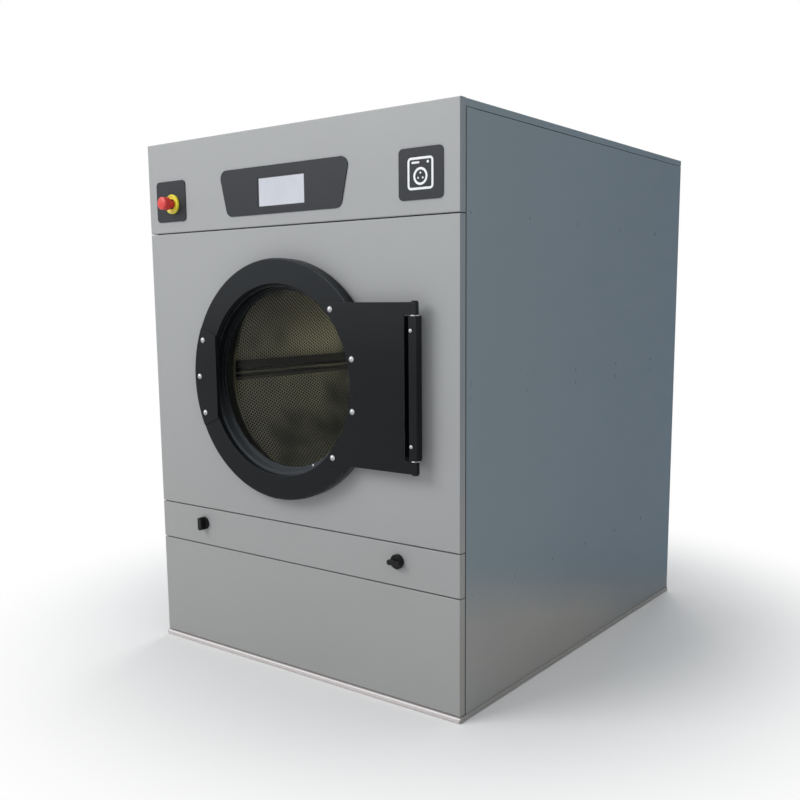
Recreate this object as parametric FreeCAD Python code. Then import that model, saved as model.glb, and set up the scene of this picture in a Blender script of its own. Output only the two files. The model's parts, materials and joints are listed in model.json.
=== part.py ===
import FreeCAD, Part
import math
import os

Vector = FreeCAD.Vector

# Driving dimensions in millimetres. The front faces -Y, the door is hinged at +X, the floor is at z = 0.

# Cabinet
cabinet_width = 1212.0
cabinet_depth = 1470.0
cabinet_height = 1640.0
sheet = 2.0
fold_depth = 24.0
fold_bend = 3.0
seam = 3.0
foot_stand = 2.0
base_height = 15.0
base_sheet = 3.0
rail_proud = 4.0
door_panel_height = 886.0
drawer_height = 124.0
fascia_height = 281.0
lid_flange = 20.0
lid_gap = 2.0

# Feet and inner frame
foot_inset = 75.0
foot_radius = 30.0
foot_crown = 18.0
foot_pad = 6.0
nut_height = 13.0
nut_radius = 13.0
stem_radius = 8.0
post_leg = 45.0
rail_leg = 30.0
angle_steel = 3.0
side_rail_depth = 60.0

# Door, measured from its axis
door_x = -12.0
door_rise = 437.0
door_radius = 355.0
door_opening = 283.0
door_plate = 3.0
door_stand = 46.0
door_sheet = 3.0
ring_rim = 13.0
ring_round = 4.0
pan_clear = 6.0
pan_depth = 21.0
pan_inset = 1.0
well_step = 6.0
seat_front = 1.0
glass_lap = 15.0
glass_thickness = 6.0
mouth_radius = 292.0
mouth_lip = 6.0
collar_depth = 60.0
gasket_width = 14.0
gasket_gap = 0.4
handle_chord = 255.0
handle_end = 128.0
handle_sweep = 40.0
handle_lip = 9.0
catch_half = 42.0
catch_inset = 12.0
catch_width = 20.0
strike_thickness = 3.2
plate_screw_inset = 17.0
handle_screw_inset = 24.0
plate_screw_angles = (-44.0, -14.0, 14.0, 44.0)
handle_screw_angles = (160.0, 180.0, 200.0)
dome_radius = 9.0
dome_height = 5.0

# Hinge
hinge_reach = 499.0
hinge_stand = 35.0
hinge_half_height = 227.0
ear_height = 33.0
ear_radius = 11.0
bar_half_width = 13.0
bar_depth = 22.0
bar_leg = 10.0
bar_flange = 60.0
plate_gap = 27.0
pin_radius = 6.0
pin_cap = 3.0
washer_thickness = 2.6
fit = 0.05
running_gap = 0.4

# Fascia fittings
display_x = -12.0
display_drop = 176.5
display_top_half = 258.0
display_bottom_half = 226.0
display_height = 137.0
display_corner = 24.0
screen_width = 188.0
screen_height = 88.0
screen_drop = 182.5
screen_depth = 16.0
screen_sink = 1.0
badge_sheet = 3.0
badge_corner = 13.0
capacity_inset = 121.0
capacity_drop = 176.0
capacity_width = 141.0
capacity_height = 131.0
stop_plate_inset = 109.0
stop_plate_drop = 182.0
stop_plate_width = 137.0
stop_plate_height = 126.0
stop_offset_x = 9.0
stop_offset_z = -9.0
stop_collar_radius = 30.0
stop_collar_height = 9.0
stop_stem_radius = 11.0
stop_neck_radius = 15.0
stop_neck = 18.0
stop_head_radius = 20.0
stop_crown_radius = 16.0
stop_head_length = 30.0
stop_reach = 52.0
stop_tail = 26.0

# Drum and its drive
drum_radius = 425.0
drum_depth = 937.0
drum_sheet = 2.0
drum_lip_radius = 310.0
drum_lip_depth = 14.0
seal_depth = 15.0
seal_inner = 332.0
seal_width = 20.0
lifter_count = 3
lifter_base = 36.0
lifter_top = 13.0
lifter_height = 92.0
lifter_inset = 25.0
lifter_round = 10.0
back_hole_radius = 11.0
back_hole_rings = 4
back_hole_first = 190.0
back_hole_pitch = 55.0
hub_radius = 110.0
hub_thickness = 14.0
arm_count = 3
arm_reach = 400.0
arm_half_width = 32.0
shaft_radius = 32.0
shaft_length = 330.0
casing_radius = 455.0
bulkhead = 3.0
bulkhead_gap = 33.0
bulkhead_margin = 11.0
beam_gap = 15.0
beam_depth = 190.0
beam_height = 110.0
beam_wall = 5.0
housing_width = 55.0
housing_half_base = 115.0
housing_arch = 62.0
housing_foot = 16.0
bearing_radius = 48.0
pulley_radius = 250.0
pulley_flange = 7.0
pulley_width = 34.0
pulley_gap = 30.0
pulley_web = 8.0
pulley_hub = 62.0
pulley_window_radius = 52.0
pulley_windows = 5
belt_width = 24.0
belt_thickness = 9.0
belt_side_gap = 1.0
motor_inset = 206.0
motor_z = 232.0
motor_radius = 88.0
motor_length = 230.0
motor_gap = 22.0
motor_fins = 12
motor_fin = 9.0
motor_fin_angle = 250.0
motor_bell_radius = 75.0
motor_pulley_radius = 45.0
motor_shaft_radius = 14.0
stand_sheet = 4.0
stand_half_width = 105.0

# Heater
heater_half_width = 200.0
heater_start = 430.0
heater_length = 440.0
heater_drop = 80.0
heater_slot = 120.0
element_count = 5
element_radius = 6.0
element_pitch = 68.0

# Lint drawer
tray_inset = 281.0
tray_length = 640.0
tray_rise = 7.4
tray_height = 84.0
tray_ledge = 25.0
screen_bar = 6.0
screen_columns = 10
screen_rows = 9
knob_inset = 207.0
knob_rise = 73.0
knob_base_radius = 21.0
knob_base = 9.0
knob_wing = 16.0
knob_wing_half = 21.0
knob_wing_width = 15.0
knob_round = 6.0
knob_shaft_radius = 5.0
cam_length = 48.0
cam_width = 16.0
cam_thickness = 4.0

# Exhaust fan, behind the lint tray and under the drum
fan_gap = 30.0
fan_rise = 140.0
fan_half_width = 60.0
fan_radius = 98.0
scroll_start = 112.0
scroll_end = 150.0
inlet_radius = 84.0
blade_inner = 78.0
fan_motor_radius = 72.0
scroll_cutoff_angle = 30.0
scroll_steps = 12
outlet_reach = 25.0
blade_count = 24
blade_sheet = 1.5
fan_shaft_radius = 10.0
fan_bore_radius = 15.0
fan_boss_radius = 30.0
fan_rim = 6.0
blade_lean_angle = 3.0
fan_motor_length = 190.0
fan_motor_flange = 15.0
fan_foot = 30.0
spigot_radius = 100.0
spigot_reach = 50.0
spigot_inside = 80.0
spigot_flange = 24.0
spigot_x = 0.0
spigot_z = 260.0

# Rear panel
louvre_rows = 9
louvre_pitch = 26.0
louvre_half_width = 150.0
louvre_x = 250.0
louvre_drop = 320.0
louvre_slot = 10.0
louvre_hood = 8.0
terminal_inset = 206.0
terminal_drop = 520.0
terminal_width = 170.0
terminal_height = 130.0
terminal_depth = 48.0
gland_radius = 15.0
gland_bore = 7.5
gland_length = 30.0
gland_nut_radius = 12.0
gland_tip_radius = 9.5

# Values worked out from the driving dimensions
half_width = cabinet_width / 2
inner_half = half_width - sheet
rail_half = inner_half - angle_steel
front_y = -(cabinet_depth + spigot_reach - stop_reach) / 2
back_y = front_y + cabinet_depth
frame_top = cabinet_height - sheet
lower_height = cabinet_height - fascia_height - door_panel_height - drawer_height - base_height
drawer_bottom_z = base_height + lower_height
drawer_top_z = drawer_bottom_z + drawer_height
fascia_bottom_z = cabinet_height - fascia_height
wrap_y = front_y + fold_depth
door_z = drawer_top_z + door_rise
hinge_x = door_x + hinge_reach
side_rail_heights = ((drawer_bottom_z + drawer_top_z) / 2, door_z, fascia_bottom_z - rail_leg)
display_z = cabinet_height - display_drop
screen_z = cabinet_height - screen_drop
capacity_x = half_width - capacity_inset
capacity_z = cabinet_height - capacity_drop
stop_plate_x = stop_plate_inset - half_width
stop_plate_z = cabinet_height - stop_plate_drop
stop_x = stop_plate_x + stop_offset_x
stop_z = stop_plate_z + stop_offset_z
motor_x = half_width - motor_inset
heater_top = cabinet_height - heater_drop
tray_half_width = half_width - tray_inset
tray_bottom = drawer_bottom_z + tray_rise
knob_x = half_width - knob_inset
knob_z = drawer_bottom_z + knob_rise
terminal_x = terminal_inset - half_width
terminal_z = cabinet_height - terminal_drop
fan_depth = tray_length + scroll_end + fan_gap
fan_z = base_height + fan_rise
side_top_z = cabinet_height - lid_flange - lid_gap
drum_front = collar_depth + seal_depth + running_gap
drum_back = drum_front + drum_depth
rear_bulkhead_depth = drum_back + bulkhead_gap
beam_start = rear_bulkhead_depth + bulkhead + beam_gap
belt_depth = beam_start + beam_depth + pulley_gap
ring_front = door_stand - door_plate
pan_front = pan_clear + pan_depth
well_radius = door_opening - well_step
ear_bottom = hinge_half_height - ear_height
tray_top = tray_bottom + tray_height


def ahead(reach):
    """Y of a plane a given reach in front of the front panels."""
    return front_y - reach


def behind(depth):
    """Y of a plane a given depth behind the front panels."""
    return front_y + depth


def block(x0, x1, y0, y1, z0, z1):
    return Part.makeBox(x1 - x0, y1 - y0, z1 - z0, Vector(x0, y0, z0))


def rod(radius, start, end):
    way = end - start
    return Part.makeCylinder(radius, way.Length, start, way)


def rod_y(radius, x, z, y0, y1):
    return rod(radius, Vector(x, y0, z), Vector(x, y1, z))


def rod_z(radius, x, y, z0, z1):
    return rod(radius, Vector(x, y, z0), Vector(x, y, z1))


def prism(edges, way):
    return Part.Face(Part.Wire(edges)).extrude(way)


def lines(points):
    """Edges of the closed outline through the points."""
    return [Part.makeLine(a, b) for a, b in zip(points, points[1:] + points[:1])]


def plate(outline, y0, y1):
    """A flat piece: corners given as (x, z), between two planes of Y."""
    points = [Vector(x, y0, z) for x, z in outline]
    return prism(lines(points), Vector(0, y1 - y0, 0))


def rounded_plate(outline, radius, y0, y1):
    """A flat piece whose corners, given as (x, z), are rounded."""
    corners = [Vector(x, y0, z) for x, z in outline]
    arcs = []
    for before, corner, after in zip(corners[-1:] + corners, corners, corners[1:] + corners[:1]):
        back = (before - corner).normalize()
        on = (after - corner).normalize()
        half_angle = back.getAngle(on) / 2
        reach = radius / math.tan(half_angle)
        middle = (back + on).normalize() * (radius / math.sin(half_angle) - radius)
        arcs.append((corner + back * reach, corner + middle, corner + on * reach))
    edges = []
    for arc, following in zip(arcs, arcs[1:] + arcs[:1]):
        edges.append(Part.Arc(*arc).toShape())
        edges.append(Part.makeLine(arc[2], following[0]))
    return prism(edges, Vector(0, y1 - y0, 0))


def rectangle(x, z, width, height):
    return [(x - width / 2, z - height / 2), (x + width / 2, z - height / 2),
            (x + width / 2, z + height / 2), (x - width / 2, z + height / 2)]


def turned(profile, x=door_x, z=door_z):
    """A body turned about an axis along Y, from a closed profile of (radius, y)."""
    points = [Vector(x + radius, y, z) for radius, y in profile]
    return Part.Face(Part.Wire(lines(points))).revolve(Vector(x, 0, z), Vector(0, 1, 0), 360)


def rounded_rims(shape, radius, y, round_radius):
    """Rounds the circular edges of one radius that lie in one plane of Y."""
    edges = [e for e in shape.Edges
             if isinstance(e.Curve, Part.Circle)
             and abs(e.Curve.Radius - radius) < fit and abs(e.Curve.Center.y - y) < fit]
    return shape.makeFillet(round_radius, edges)


def around_drum(shape, count, start=0.0):
    """Copies of a shape spaced evenly about the drum axis."""
    copies = []
    for k in range(count):
        copy = shape.copy()
        copy.rotate(Vector(door_x, 0, door_z), Vector(0, 1, 0), start + 360.0 * k / count)
        copies.append(copy)
    return copies


def folded_panel(z0, z1, depth):
    """A front panel: a sheet with its four edges folded back."""
    outer = block(-half_width, half_width, front_y, front_y + depth, z0, z1)
    front_edges = [e for e in outer.Edges if all(abs(v.Y - front_y) < fit for v in e.Vertexes)]
    outer = outer.makeFillet(fold_bend, front_edges)
    hollow = block(-inner_half, inner_half, front_y + sheet, front_y + depth, z0 + sheet, z1 - sheet)
    return outer.cut(hollow)


def dome(x, z, y):
    """A domed screw head on a plane that faces the front."""
    ball_radius = (dome_radius ** 2 + dome_height ** 2) / (2 * dome_height)
    ball = Part.makeSphere(ball_radius, Vector(x, y + ball_radius - dome_height, z))
    return ball.common(rod_y(dome_radius, x, z, y - dome_height, y))


def polar(radius, degrees):
    """A point (x, z) on a circle about the door axis."""
    turn = math.radians(degrees)
    return door_x + radius * math.cos(turn), door_z + radius * math.sin(turn)


# Cabinet

def foot_places():
    x = half_width - foot_inset
    return [(sx * x, y) for sx in (-1, 1) for y in (front_y + foot_inset, back_y - foot_inset)]


def base_tray():
    outer = block(-half_width - rail_proud, half_width + rail_proud,
                  front_y - rail_proud, back_y, foot_stand, base_height)
    uprights = [e for e in outer.Edges if abs(e.Vertexes[0].Z - e.Vertexes[-1].Z) > base_sheet]
    outer = outer.makeFillet(rail_proud, uprights)
    hollow = block(-half_width + base_sheet, half_width - base_sheet, front_y + base_sheet,
                   back_y - base_sheet, foot_stand, base_height - base_sheet)
    holes = [rod_z(stem_radius + running_gap, x, y, foot_stand, base_height) for x, y in foot_places()]
    return outer.cut([hollow] + holes)


def levelling_feet():
    stem_top = base_height + 2 * nut_height
    seat = base_height - base_sheet
    pieces = []
    for x, y in foot_places():
        pad = Part.makeCone(foot_radius, foot_crown, foot_pad, Vector(x, y, 0))
        neck = rod_z(nut_radius, x, y, foot_pad, seat)
        pieces.append(pad.fuse([neck, rod_z(stem_radius, x, y, seat, stem_top)]).removeSplitter())
        corners = [Vector(x + nut_radius * math.cos(math.radians(60 * k)),
                          y + nut_radius * math.sin(math.radians(60 * k)), base_height) for k in range(6)]
        nut = prism(lines(corners), Vector(0, 0, nut_height))
        pieces.append(nut.cut(rod_z(stem_radius + fit, x, y, base_height, base_height + nut_height)))
    return Part.Compound(pieces)


def corner_post(side, y, turn):
    """An upright angle in a corner: side is -1 or 1, turn is the way it runs in Y."""
    outline = [Vector(side * inner_half, y, base_height),
               Vector(side * (inner_half - post_leg), y, base_height),
               Vector(side * (inner_half - post_leg), y + turn * angle_steel, base_height),
               Vector(side * rail_half, y + turn * angle_steel, base_height),
               Vector(side * rail_half, y + turn * post_leg, base_height),
               Vector(side * inner_half, y + turn * post_leg, base_height)]
    return prism(lines(outline), Vector(0, 0, frame_top - base_height))


def cross_rail(z0, z1, shelf_z):
    """A front rail behind a seam: an upright leg with a shelf running back from it."""
    upright = block(-rail_half, rail_half, wrap_y, wrap_y + angle_steel, z0, z1)
    shelf = block(-rail_half, rail_half, wrap_y, wrap_y + rail_leg, shelf_z, shelf_z + angle_steel)
    return upright.fuse(shelf)


def inner_frame():
    rear_y = back_y - 2 * sheet
    members = [corner_post(side, wrap_y, 1) for side in (-1, 1)]
    members += [corner_post(side, rear_y, -1) for side in (-1, 1)]
    runner_seat = tray_bottom - running_gap - stand_sheet
    members.append(cross_rail(runner_seat - rail_leg, runner_seat, runner_seat - angle_steel))
    drawer_head = drawer_top_z - bulkhead_margin
    members.append(cross_rail(drawer_head, drawer_head + rail_leg, drawer_head + rail_leg - angle_steel))
    fascia_sill = fascia_bottom_z - rail_leg / 2
    members.append(cross_rail(fascia_sill, fascia_sill + rail_leg, fascia_sill + rail_leg - angle_steel))
    members.append(cross_rail(frame_top - rail_leg, frame_top - sheet, frame_top - sheet - angle_steel))
    for side in (-1, 1):
        inside = sorted((side * rail_half, side * inner_half))
        for height in side_rail_heights:
            members.append(block(*inside, wrap_y, rear_y,
                                 height - side_rail_depth / 2, height + side_rail_depth / 2))
        shelf = sorted((side * inner_half, side * (inner_half - rail_leg)))
        members.append(block(*shelf, wrap_y, rear_y, frame_top - angle_steel, frame_top))
    return members[0].fuse(members[1:]).removeSplitter()


def side_panel_right():
    skin = block(inner_half, half_width, wrap_y + lid_gap, back_y, base_height, side_top_z)
    return_flange = block(inner_half - fold_depth, inner_half, back_y - 2 * sheet, back_y - sheet,
                          base_height, side_top_z)
    return skin.fuse(return_flange).removeSplitter()


def side_panel_left():
    return side_panel_right().mirror(Vector(0, 0, 0), Vector(1, 0, 0))


def top_lid():
    y0 = wrap_y + lid_gap
    bottom = cabinet_height - lid_flange
    outer = block(-half_width, half_width, y0, back_y, bottom, cabinet_height)
    long_edges = [e for e in outer.Edges if all(abs(v.Z - cabinet_height) < fit for v in e.Vertexes)
                  and abs(e.Vertexes[0].Y - e.Vertexes[-1].Y) > sheet]
    outer = outer.makeFillet(fold_bend, long_edges)
    return outer.cut(block(-inner_half, inner_half, y0, back_y - sheet, bottom, frame_top))


def rear_panel():
    panel = block(-inner_half, inner_half, back_y - sheet, back_y, base_height, side_top_z)
    holes = [rod_y(spigot_radius, spigot_x, spigot_z, back_y - sheet, back_y)]
    hoods = []
    for x in (-louvre_x, louvre_x):
        for row in range(louvre_rows):
            z = cabinet_height - louvre_drop + row * louvre_pitch
            left = x - louvre_half_width
            holes.append(block(left, x + louvre_half_width, back_y - sheet, back_y, z, z + louvre_slot))
            slope = [Vector(left, back_y - sheet, z + louvre_slot),
                     Vector(left, back_y - sheet, z + louvre_slot + sheet),
                     Vector(left, back_y + louvre_hood, z + sheet),
                     Vector(left, back_y + louvre_hood, z)]
            hoods.append(prism(lines(slope), Vector(2 * louvre_half_width, 0, 0)))
    return panel.cut(holes).fuse(hoods).removeSplitter()


def control_fascia():
    panel = folded_panel(fascia_bottom_z + seam / 2, cabinet_height, fold_depth)
    window = block(display_x - screen_width / 2 - running_gap, display_x + screen_width / 2 + running_gap,
                   front_y, front_y + sheet,
                   screen_z - screen_height / 2 - running_gap, screen_z + screen_height / 2 + running_gap)
    stem_hole = rod_y(stop_stem_radius + 2 * fit, stop_x, stop_z, front_y, front_y + sheet)
    return panel.cut([window, stem_hole])


def door_panel():
    panel = folded_panel(drawer_top_z + seam / 2, fascia_bottom_z - seam / 2, fold_depth)
    panel = panel.cut(rod_y(mouth_radius + mouth_lip, door_x, door_z, front_y, front_y + sheet))
    inside = mouth_radius
    outside = mouth_radius + sheet
    rim = mouth_radius + mouth_lip
    tilt = math.sqrt(0.5)
    inner_bend = mouth_lip - sheet

    def at(radius, depth):
        return Vector(door_x + radius, behind(depth), door_z)

    profile = [
        Part.Arc(at(rim, 0), at(rim - mouth_lip * tilt, mouth_lip * (1 - tilt)),
                 at(inside, mouth_lip)).toShape(),
        Part.makeLine(at(inside, mouth_lip), at(inside, collar_depth)),
        Part.makeLine(at(inside, collar_depth), at(outside, collar_depth)),
        Part.makeLine(at(outside, collar_depth), at(outside, mouth_lip)),
        Part.Arc(at(outside, mouth_lip), at(rim - inner_bend * tilt, mouth_lip - inner_bend * tilt),
                 at(rim, sheet)).toShape(),
        Part.makeLine(at(rim, sheet), at(rim, 0)),
    ]
    face = Part.Face(Part.Wire(profile))
    collar = face.revolve(Vector(door_x, 0, door_z), Vector(0, 1, 0), 360)
    return panel.fuse(collar).removeSplitter()


def lower_panel():
    return folded_panel(base_height + seam, drawer_bottom_z - seam / 2, fold_depth)


# Fascia fittings

def display_bezel():
    top = display_z + display_height / 2
    bottom = display_z - display_height / 2
    outline = [(display_x - display_bottom_half, bottom), (display_x + display_bottom_half, bottom),
               (display_x + display_top_half, top), (display_x - display_top_half, top)]
    bezel = rounded_plate(outline, display_corner, ahead(badge_sheet), front_y)
    window = plate(rectangle(display_x, screen_z, screen_width + 2 * running_gap,
                             screen_height + 2 * running_gap), ahead(badge_sheet), front_y)
    return bezel.cut(window)


def touch_screen():
    return plate(rectangle(display_x, screen_z, screen_width, screen_height),
                 ahead(badge_sheet - screen_sink), behind(screen_depth))


def capacity_plate():
    outline = rectangle(capacity_x, capacity_z, capacity_width, capacity_height)
    return rounded_plate(outline, badge_corner, ahead(badge_sheet), front_y)


def stop_plate():
    outline = rectangle(stop_plate_x, stop_plate_z, stop_plate_width, stop_plate_height)
    badge = rounded_plate(outline, badge_corner, ahead(badge_sheet), front_y)
    return badge.cut(rod_y(stop_stem_radius + 2 * fit, stop_x, stop_z, ahead(badge_sheet), front_y))


def stop_collar():
    bore = stop_neck_radius + 2 * running_gap
    root = badge_sheet
    crest = badge_sheet + stop_collar_height
    profile = [(bore, ahead(root)), (stop_collar_radius, ahead(root)),
               (stop_collar_radius, ahead(crest - fold_bend)), (stop_collar_radius - fold_bend, ahead(crest)),
               (stop_collar_radius - 3 * fold_bend, ahead(crest - fold_bend)),
               (bore, ahead(crest - fold_bend))]
    return turned(profile, stop_x, stop_z)


def stop_stem():
    return rod_y(stop_stem_radius, stop_x, stop_z, ahead(stop_neck), behind(stop_tail))


def stop_head():
    root = stop_neck + running_gap
    brim = stop_reach - stop_head_length
    taper = stop_head_radius - stop_neck_radius
    profile = [(0, ahead(root)), (stop_neck_radius, ahead(root)), (stop_neck_radius, ahead(brim)),
               (stop_head_radius, ahead(brim + taper / 2)), (stop_head_radius, ahead(stop_reach - taper / 2)),
               (stop_crown_radius, ahead(stop_reach)), (0, ahead(stop_reach))]
    return turned(profile, stop_x, stop_z)


# Door

def door_ring():
    rim_back = ring_front - ring_rim
    outer = door_radius
    inner = door_opening
    profile = [(inner, ahead(ring_front)), (outer, ahead(ring_front)), (outer, ahead(rim_back)),
               (outer - door_sheet, ahead(rim_back)), (outer - door_sheet, ahead(ring_front - door_sheet)),
               (inner + door_sheet, ahead(ring_front - door_sheet)), (inner + door_sheet, ahead(pan_front)),
               (inner, ahead(pan_front))]
    return rounded_rims(turned(profile), outer, ahead(ring_front), ring_round)


def door_pan():
    outer = door_radius - pan_inset
    web_back = pan_front - door_sheet
    seat_back = seat_front - door_sheet
    well_end = seat_back - glass_thickness - 2 * running_gap
    seat = well_radius - glass_lap
    profile = [(well_radius - door_sheet, ahead(pan_front)), (outer, ahead(pan_front)),
               (outer, ahead(pan_clear)), (outer - door_sheet, ahead(pan_clear)),
               (outer - door_sheet, ahead(web_back)), (well_radius, ahead(web_back)),
               (well_radius, ahead(well_end)), (well_radius - door_sheet, ahead(well_end)),
               (well_radius - door_sheet, ahead(seat_back)), (seat, ahead(seat_back)),
               (seat, ahead(seat_front)), (well_radius - door_sheet, ahead(seat_front))]
    strike = catch_block(web_back - strike_thickness, web_back)
    return turned(profile).fuse(strike).removeSplitter()


def catch_block(reach0, reach1):
    """A block at the door's free edge, between the gasket and the pan's outer wall."""
    left = door_x - door_radius + catch_inset
    return block(left, left + catch_width, ahead(reach1), ahead(reach0),
                 door_z - catch_half, door_z + catch_half)


def door_magnet():
    web_back = pan_front - door_sheet
    return catch_block(0, web_back - strike_thickness - running_gap)


def hinge_plate():
    back = ahead(ring_front)
    front = ahead(door_stand)
    pin_y = ahead(hinge_stand)
    low = door_z - hinge_half_height
    high = door_z + hinge_half_height
    body = block(door_x, hinge_x - plate_gap, front, back, low, high)
    body = body.cut(rod_y(door_opening, door_x, door_z, front, back))
    pieces = []
    for bottom in (low, high - ear_height):
        top = bottom + ear_height
        ear = block(hinge_x - plate_gap, hinge_x + ear_radius, front, back, bottom, top)
        lug = block(hinge_x - ear_radius, hinge_x + ear_radius, back, pin_y, bottom, top)
        pieces += [ear, lug, rod_z(ear_radius, hinge_x, pin_y, bottom, top)]
    bore = rod_z(pin_radius + fit, hinge_x, pin_y, low, high)
    return body.fuse(pieces).removeSplitter().cut(bore)


def handle_plate():
    back = ahead(ring_front)
    front = ahead(door_stand)
    outer = door_radius - ring_round
    edge = door_x - handle_chord
    far = door_x - door_radius
    slants = plate([(edge, door_z - handle_end), (edge, door_z + handle_end),
                    (far, door_z + handle_end + handle_sweep), (far, door_z - handle_end - handle_sweep)],
                   front, back)
    blade = slants.common(rod_y(outer, door_x, door_z, front, back))
    grip_half = handle_end - 2 * well_step
    grip = block(edge - door_sheet, edge, back, ahead(ring_front - handle_lip),
                 door_z - grip_half, door_z + grip_half)
    return blade.fuse(grip).removeSplitter()


def door_glass():
    front = seat_front - door_sheet - running_gap
    return rod_y(well_radius - door_sheet - running_gap, door_x, door_z,
                 ahead(front), ahead(front - glass_thickness))


def glass_clamp():
    front = seat_front - door_sheet - glass_thickness - 2 * running_gap
    inner = well_radius - glass_lap
    return turned([(inner, ahead(front)), (well_radius, ahead(front)),
                   (well_radius, ahead(front - door_sheet)), (inner, ahead(front - door_sheet))])


def door_gasket():
    inner = mouth_radius + 2 * mouth_lip
    root = pan_front - door_sheet
    tip = gasket_gap
    nose = gasket_width / 2
    middle = inner + nose

    def at(radius, reach):
        return Vector(door_x + radius, ahead(reach), door_z)

    profile = [
        Part.makeLine(at(inner, root), at(inner, tip + nose)),
        Part.Arc(at(inner, tip + nose), at(middle, tip), at(inner + gasket_width, tip + nose)).toShape(),
        Part.makeLine(at(inner + gasket_width, tip + nose), at(inner + gasket_width, root)),
        Part.makeLine(at(inner + gasket_width, root), at(inner, root)),
    ]
    return Part.Face(Part.Wire(profile)).revolve(Vector(door_x, 0, door_z), Vector(0, 1, 0), 360)


def door_screws():
    plate_row = door_opening + plate_screw_inset
    handle_row = door_radius - handle_screw_inset
    places = [polar(plate_row, turn) for turn in plate_screw_angles]
    places += [polar(handle_row, turn) for turn in handle_screw_angles]
    return Part.Compound([dome(x, z, ahead(door_stand)) for x, z in places])


# Hinge

def hinge_block():
    """A bar in front of the panel, on a leg set back from its outer side and a flange behind the door."""
    low = door_z - ear_bottom + washer_thickness + running_gap
    high = door_z + ear_bottom - washer_thickness - running_gap
    left = hinge_x - bar_half_width
    front = ahead(door_stand)
    bar = block(left, hinge_x + bar_half_width, front, front + bar_depth, low, high)
    front_uprights = [e for e in bar.Edges if abs(e.Vertexes[0].Z - e.Vertexes[-1].Z) > sheet
                      and abs(e.Vertexes[0].Y - front) < fit]
    bar = bar.makeFillet(ring_round / 2, front_uprights)
    bar = bar.cut(rod_z(pin_radius, hinge_x, ahead(hinge_stand), low, high))
    leg = block(left, left + bar_leg, front + bar_depth, front_y, low, high)
    flange = block(left - bar_flange, left, ahead(door_sheet), front_y, low, high)
    return bar.fuse([leg, flange]).removeSplitter()


def hinge_pin():
    low = door_z - hinge_half_height - running_gap
    high = door_z + hinge_half_height + running_gap
    pin_y = ahead(hinge_stand)
    cap_radius = pin_radius + pin_cap
    ends = [rod_z(cap_radius, hinge_x, pin_y, low - pin_cap, low),
            rod_z(cap_radius, hinge_x, pin_y, high, high + pin_cap)]
    return rod_z(pin_radius, hinge_x, pin_y, low, high).fuse(ends).removeSplitter()


def hinge_washers():
    pin_y = ahead(hinge_stand)
    seats = (door_z - ear_bottom + running_gap, door_z + ear_bottom - running_gap - washer_thickness)
    rings = []
    for z in seats:
        ring = rod_z(ear_radius, hinge_x, pin_y, z, z + washer_thickness)
        rings.append(ring.cut(rod_z(pin_radius + fit, hinge_x, pin_y, z, z + washer_thickness)))
    return Part.Compound(rings)


# Drum, its casing and its drive

def front_bulkhead():
    wall = block(-rail_half, rail_half, behind(collar_depth - bulkhead), behind(collar_depth),
                 drawer_top_z + bulkhead_margin, fascia_bottom_z - bulkhead_margin)
    return wall.cut(rod_y(mouth_radius + sheet, door_x, door_z,
                          behind(collar_depth - bulkhead), behind(collar_depth)))


def drum_seal():
    front = behind(collar_depth)
    back = behind(collar_depth + seal_depth)
    return turned([(seal_inner, front), (seal_inner + seal_width, front),
                   (seal_inner + seal_width, back), (seal_inner, back)])


def drum_shell():
    """A rolled wrapper with a pressed ring at its front."""
    front = behind(drum_front)
    seat = front + drum_sheet
    back = behind(drum_back)
    inner = drum_radius - drum_sheet
    lip = drum_lip_radius
    wrapper = turned([(inner, seat), (drum_radius, seat), (drum_radius, back), (inner, back)])
    ring = turned([(lip, front), (drum_radius, front), (drum_radius, seat), (lip + drum_sheet, seat),
                   (lip + drum_sheet, front + drum_lip_depth), (lip, front + drum_lip_depth)])
    return Part.Compound([wrapper, ring])


def drum_rear():
    front = behind(drum_back)
    back = front + drum_sheet
    disc = rod_y(drum_radius, door_x, door_z, front, back)
    holes = []
    for ring in range(back_hole_rings):
        radius = back_hole_first + ring * back_hole_pitch
        count = int(2 * math.pi * radius / back_hole_pitch)
        x, z = polar(radius, 0)
        holes += around_drum(rod_y(back_hole_radius, x, z, front, back), count, ring * 180.0 / count)
    return disc.cut(holes)


def drum_lifters():
    wall = drum_radius - drum_sheet - running_gap / 2

    def rib(inset):
        crest = door_x - wall + lifter_height - inset
        outline = [(door_x - drum_radius, door_z - lifter_base + inset), (crest, door_z - lifter_top + inset),
                   (crest, door_z + lifter_top - inset), (door_x - drum_radius, door_z + lifter_base - inset)]
        return rounded_plate(outline, lifter_round - inset,
                             behind(drum_front + lifter_inset) + inset,
                             behind(drum_back - running_gap) - inset)

    hollow_rib = rib(0).cut(rib(drum_sheet))
    hollow_rib = hollow_rib.common(rod_y(wall, door_x, door_z, behind(drum_front), behind(drum_back)))
    return Part.Compound(around_drum(hollow_rib, lifter_count))


def drum_spider():
    front = behind(drum_back) + drum_sheet
    back = front + hub_thickness
    hub = rod_y(hub_radius, door_x, door_z, front, back)
    arm = plate([(door_x, door_z - arm_half_width), (door_x + arm_reach, door_z - arm_half_width / 2),
                 (door_x + arm_reach, door_z + arm_half_width / 2), (door_x, door_z + arm_half_width)],
                front, back)
    shaft = rod_y(shaft_radius, door_x, door_z, back, back + shaft_length)
    return hub.fuse(around_drum(arm, arm_count) + [shaft]).removeSplitter()


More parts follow.
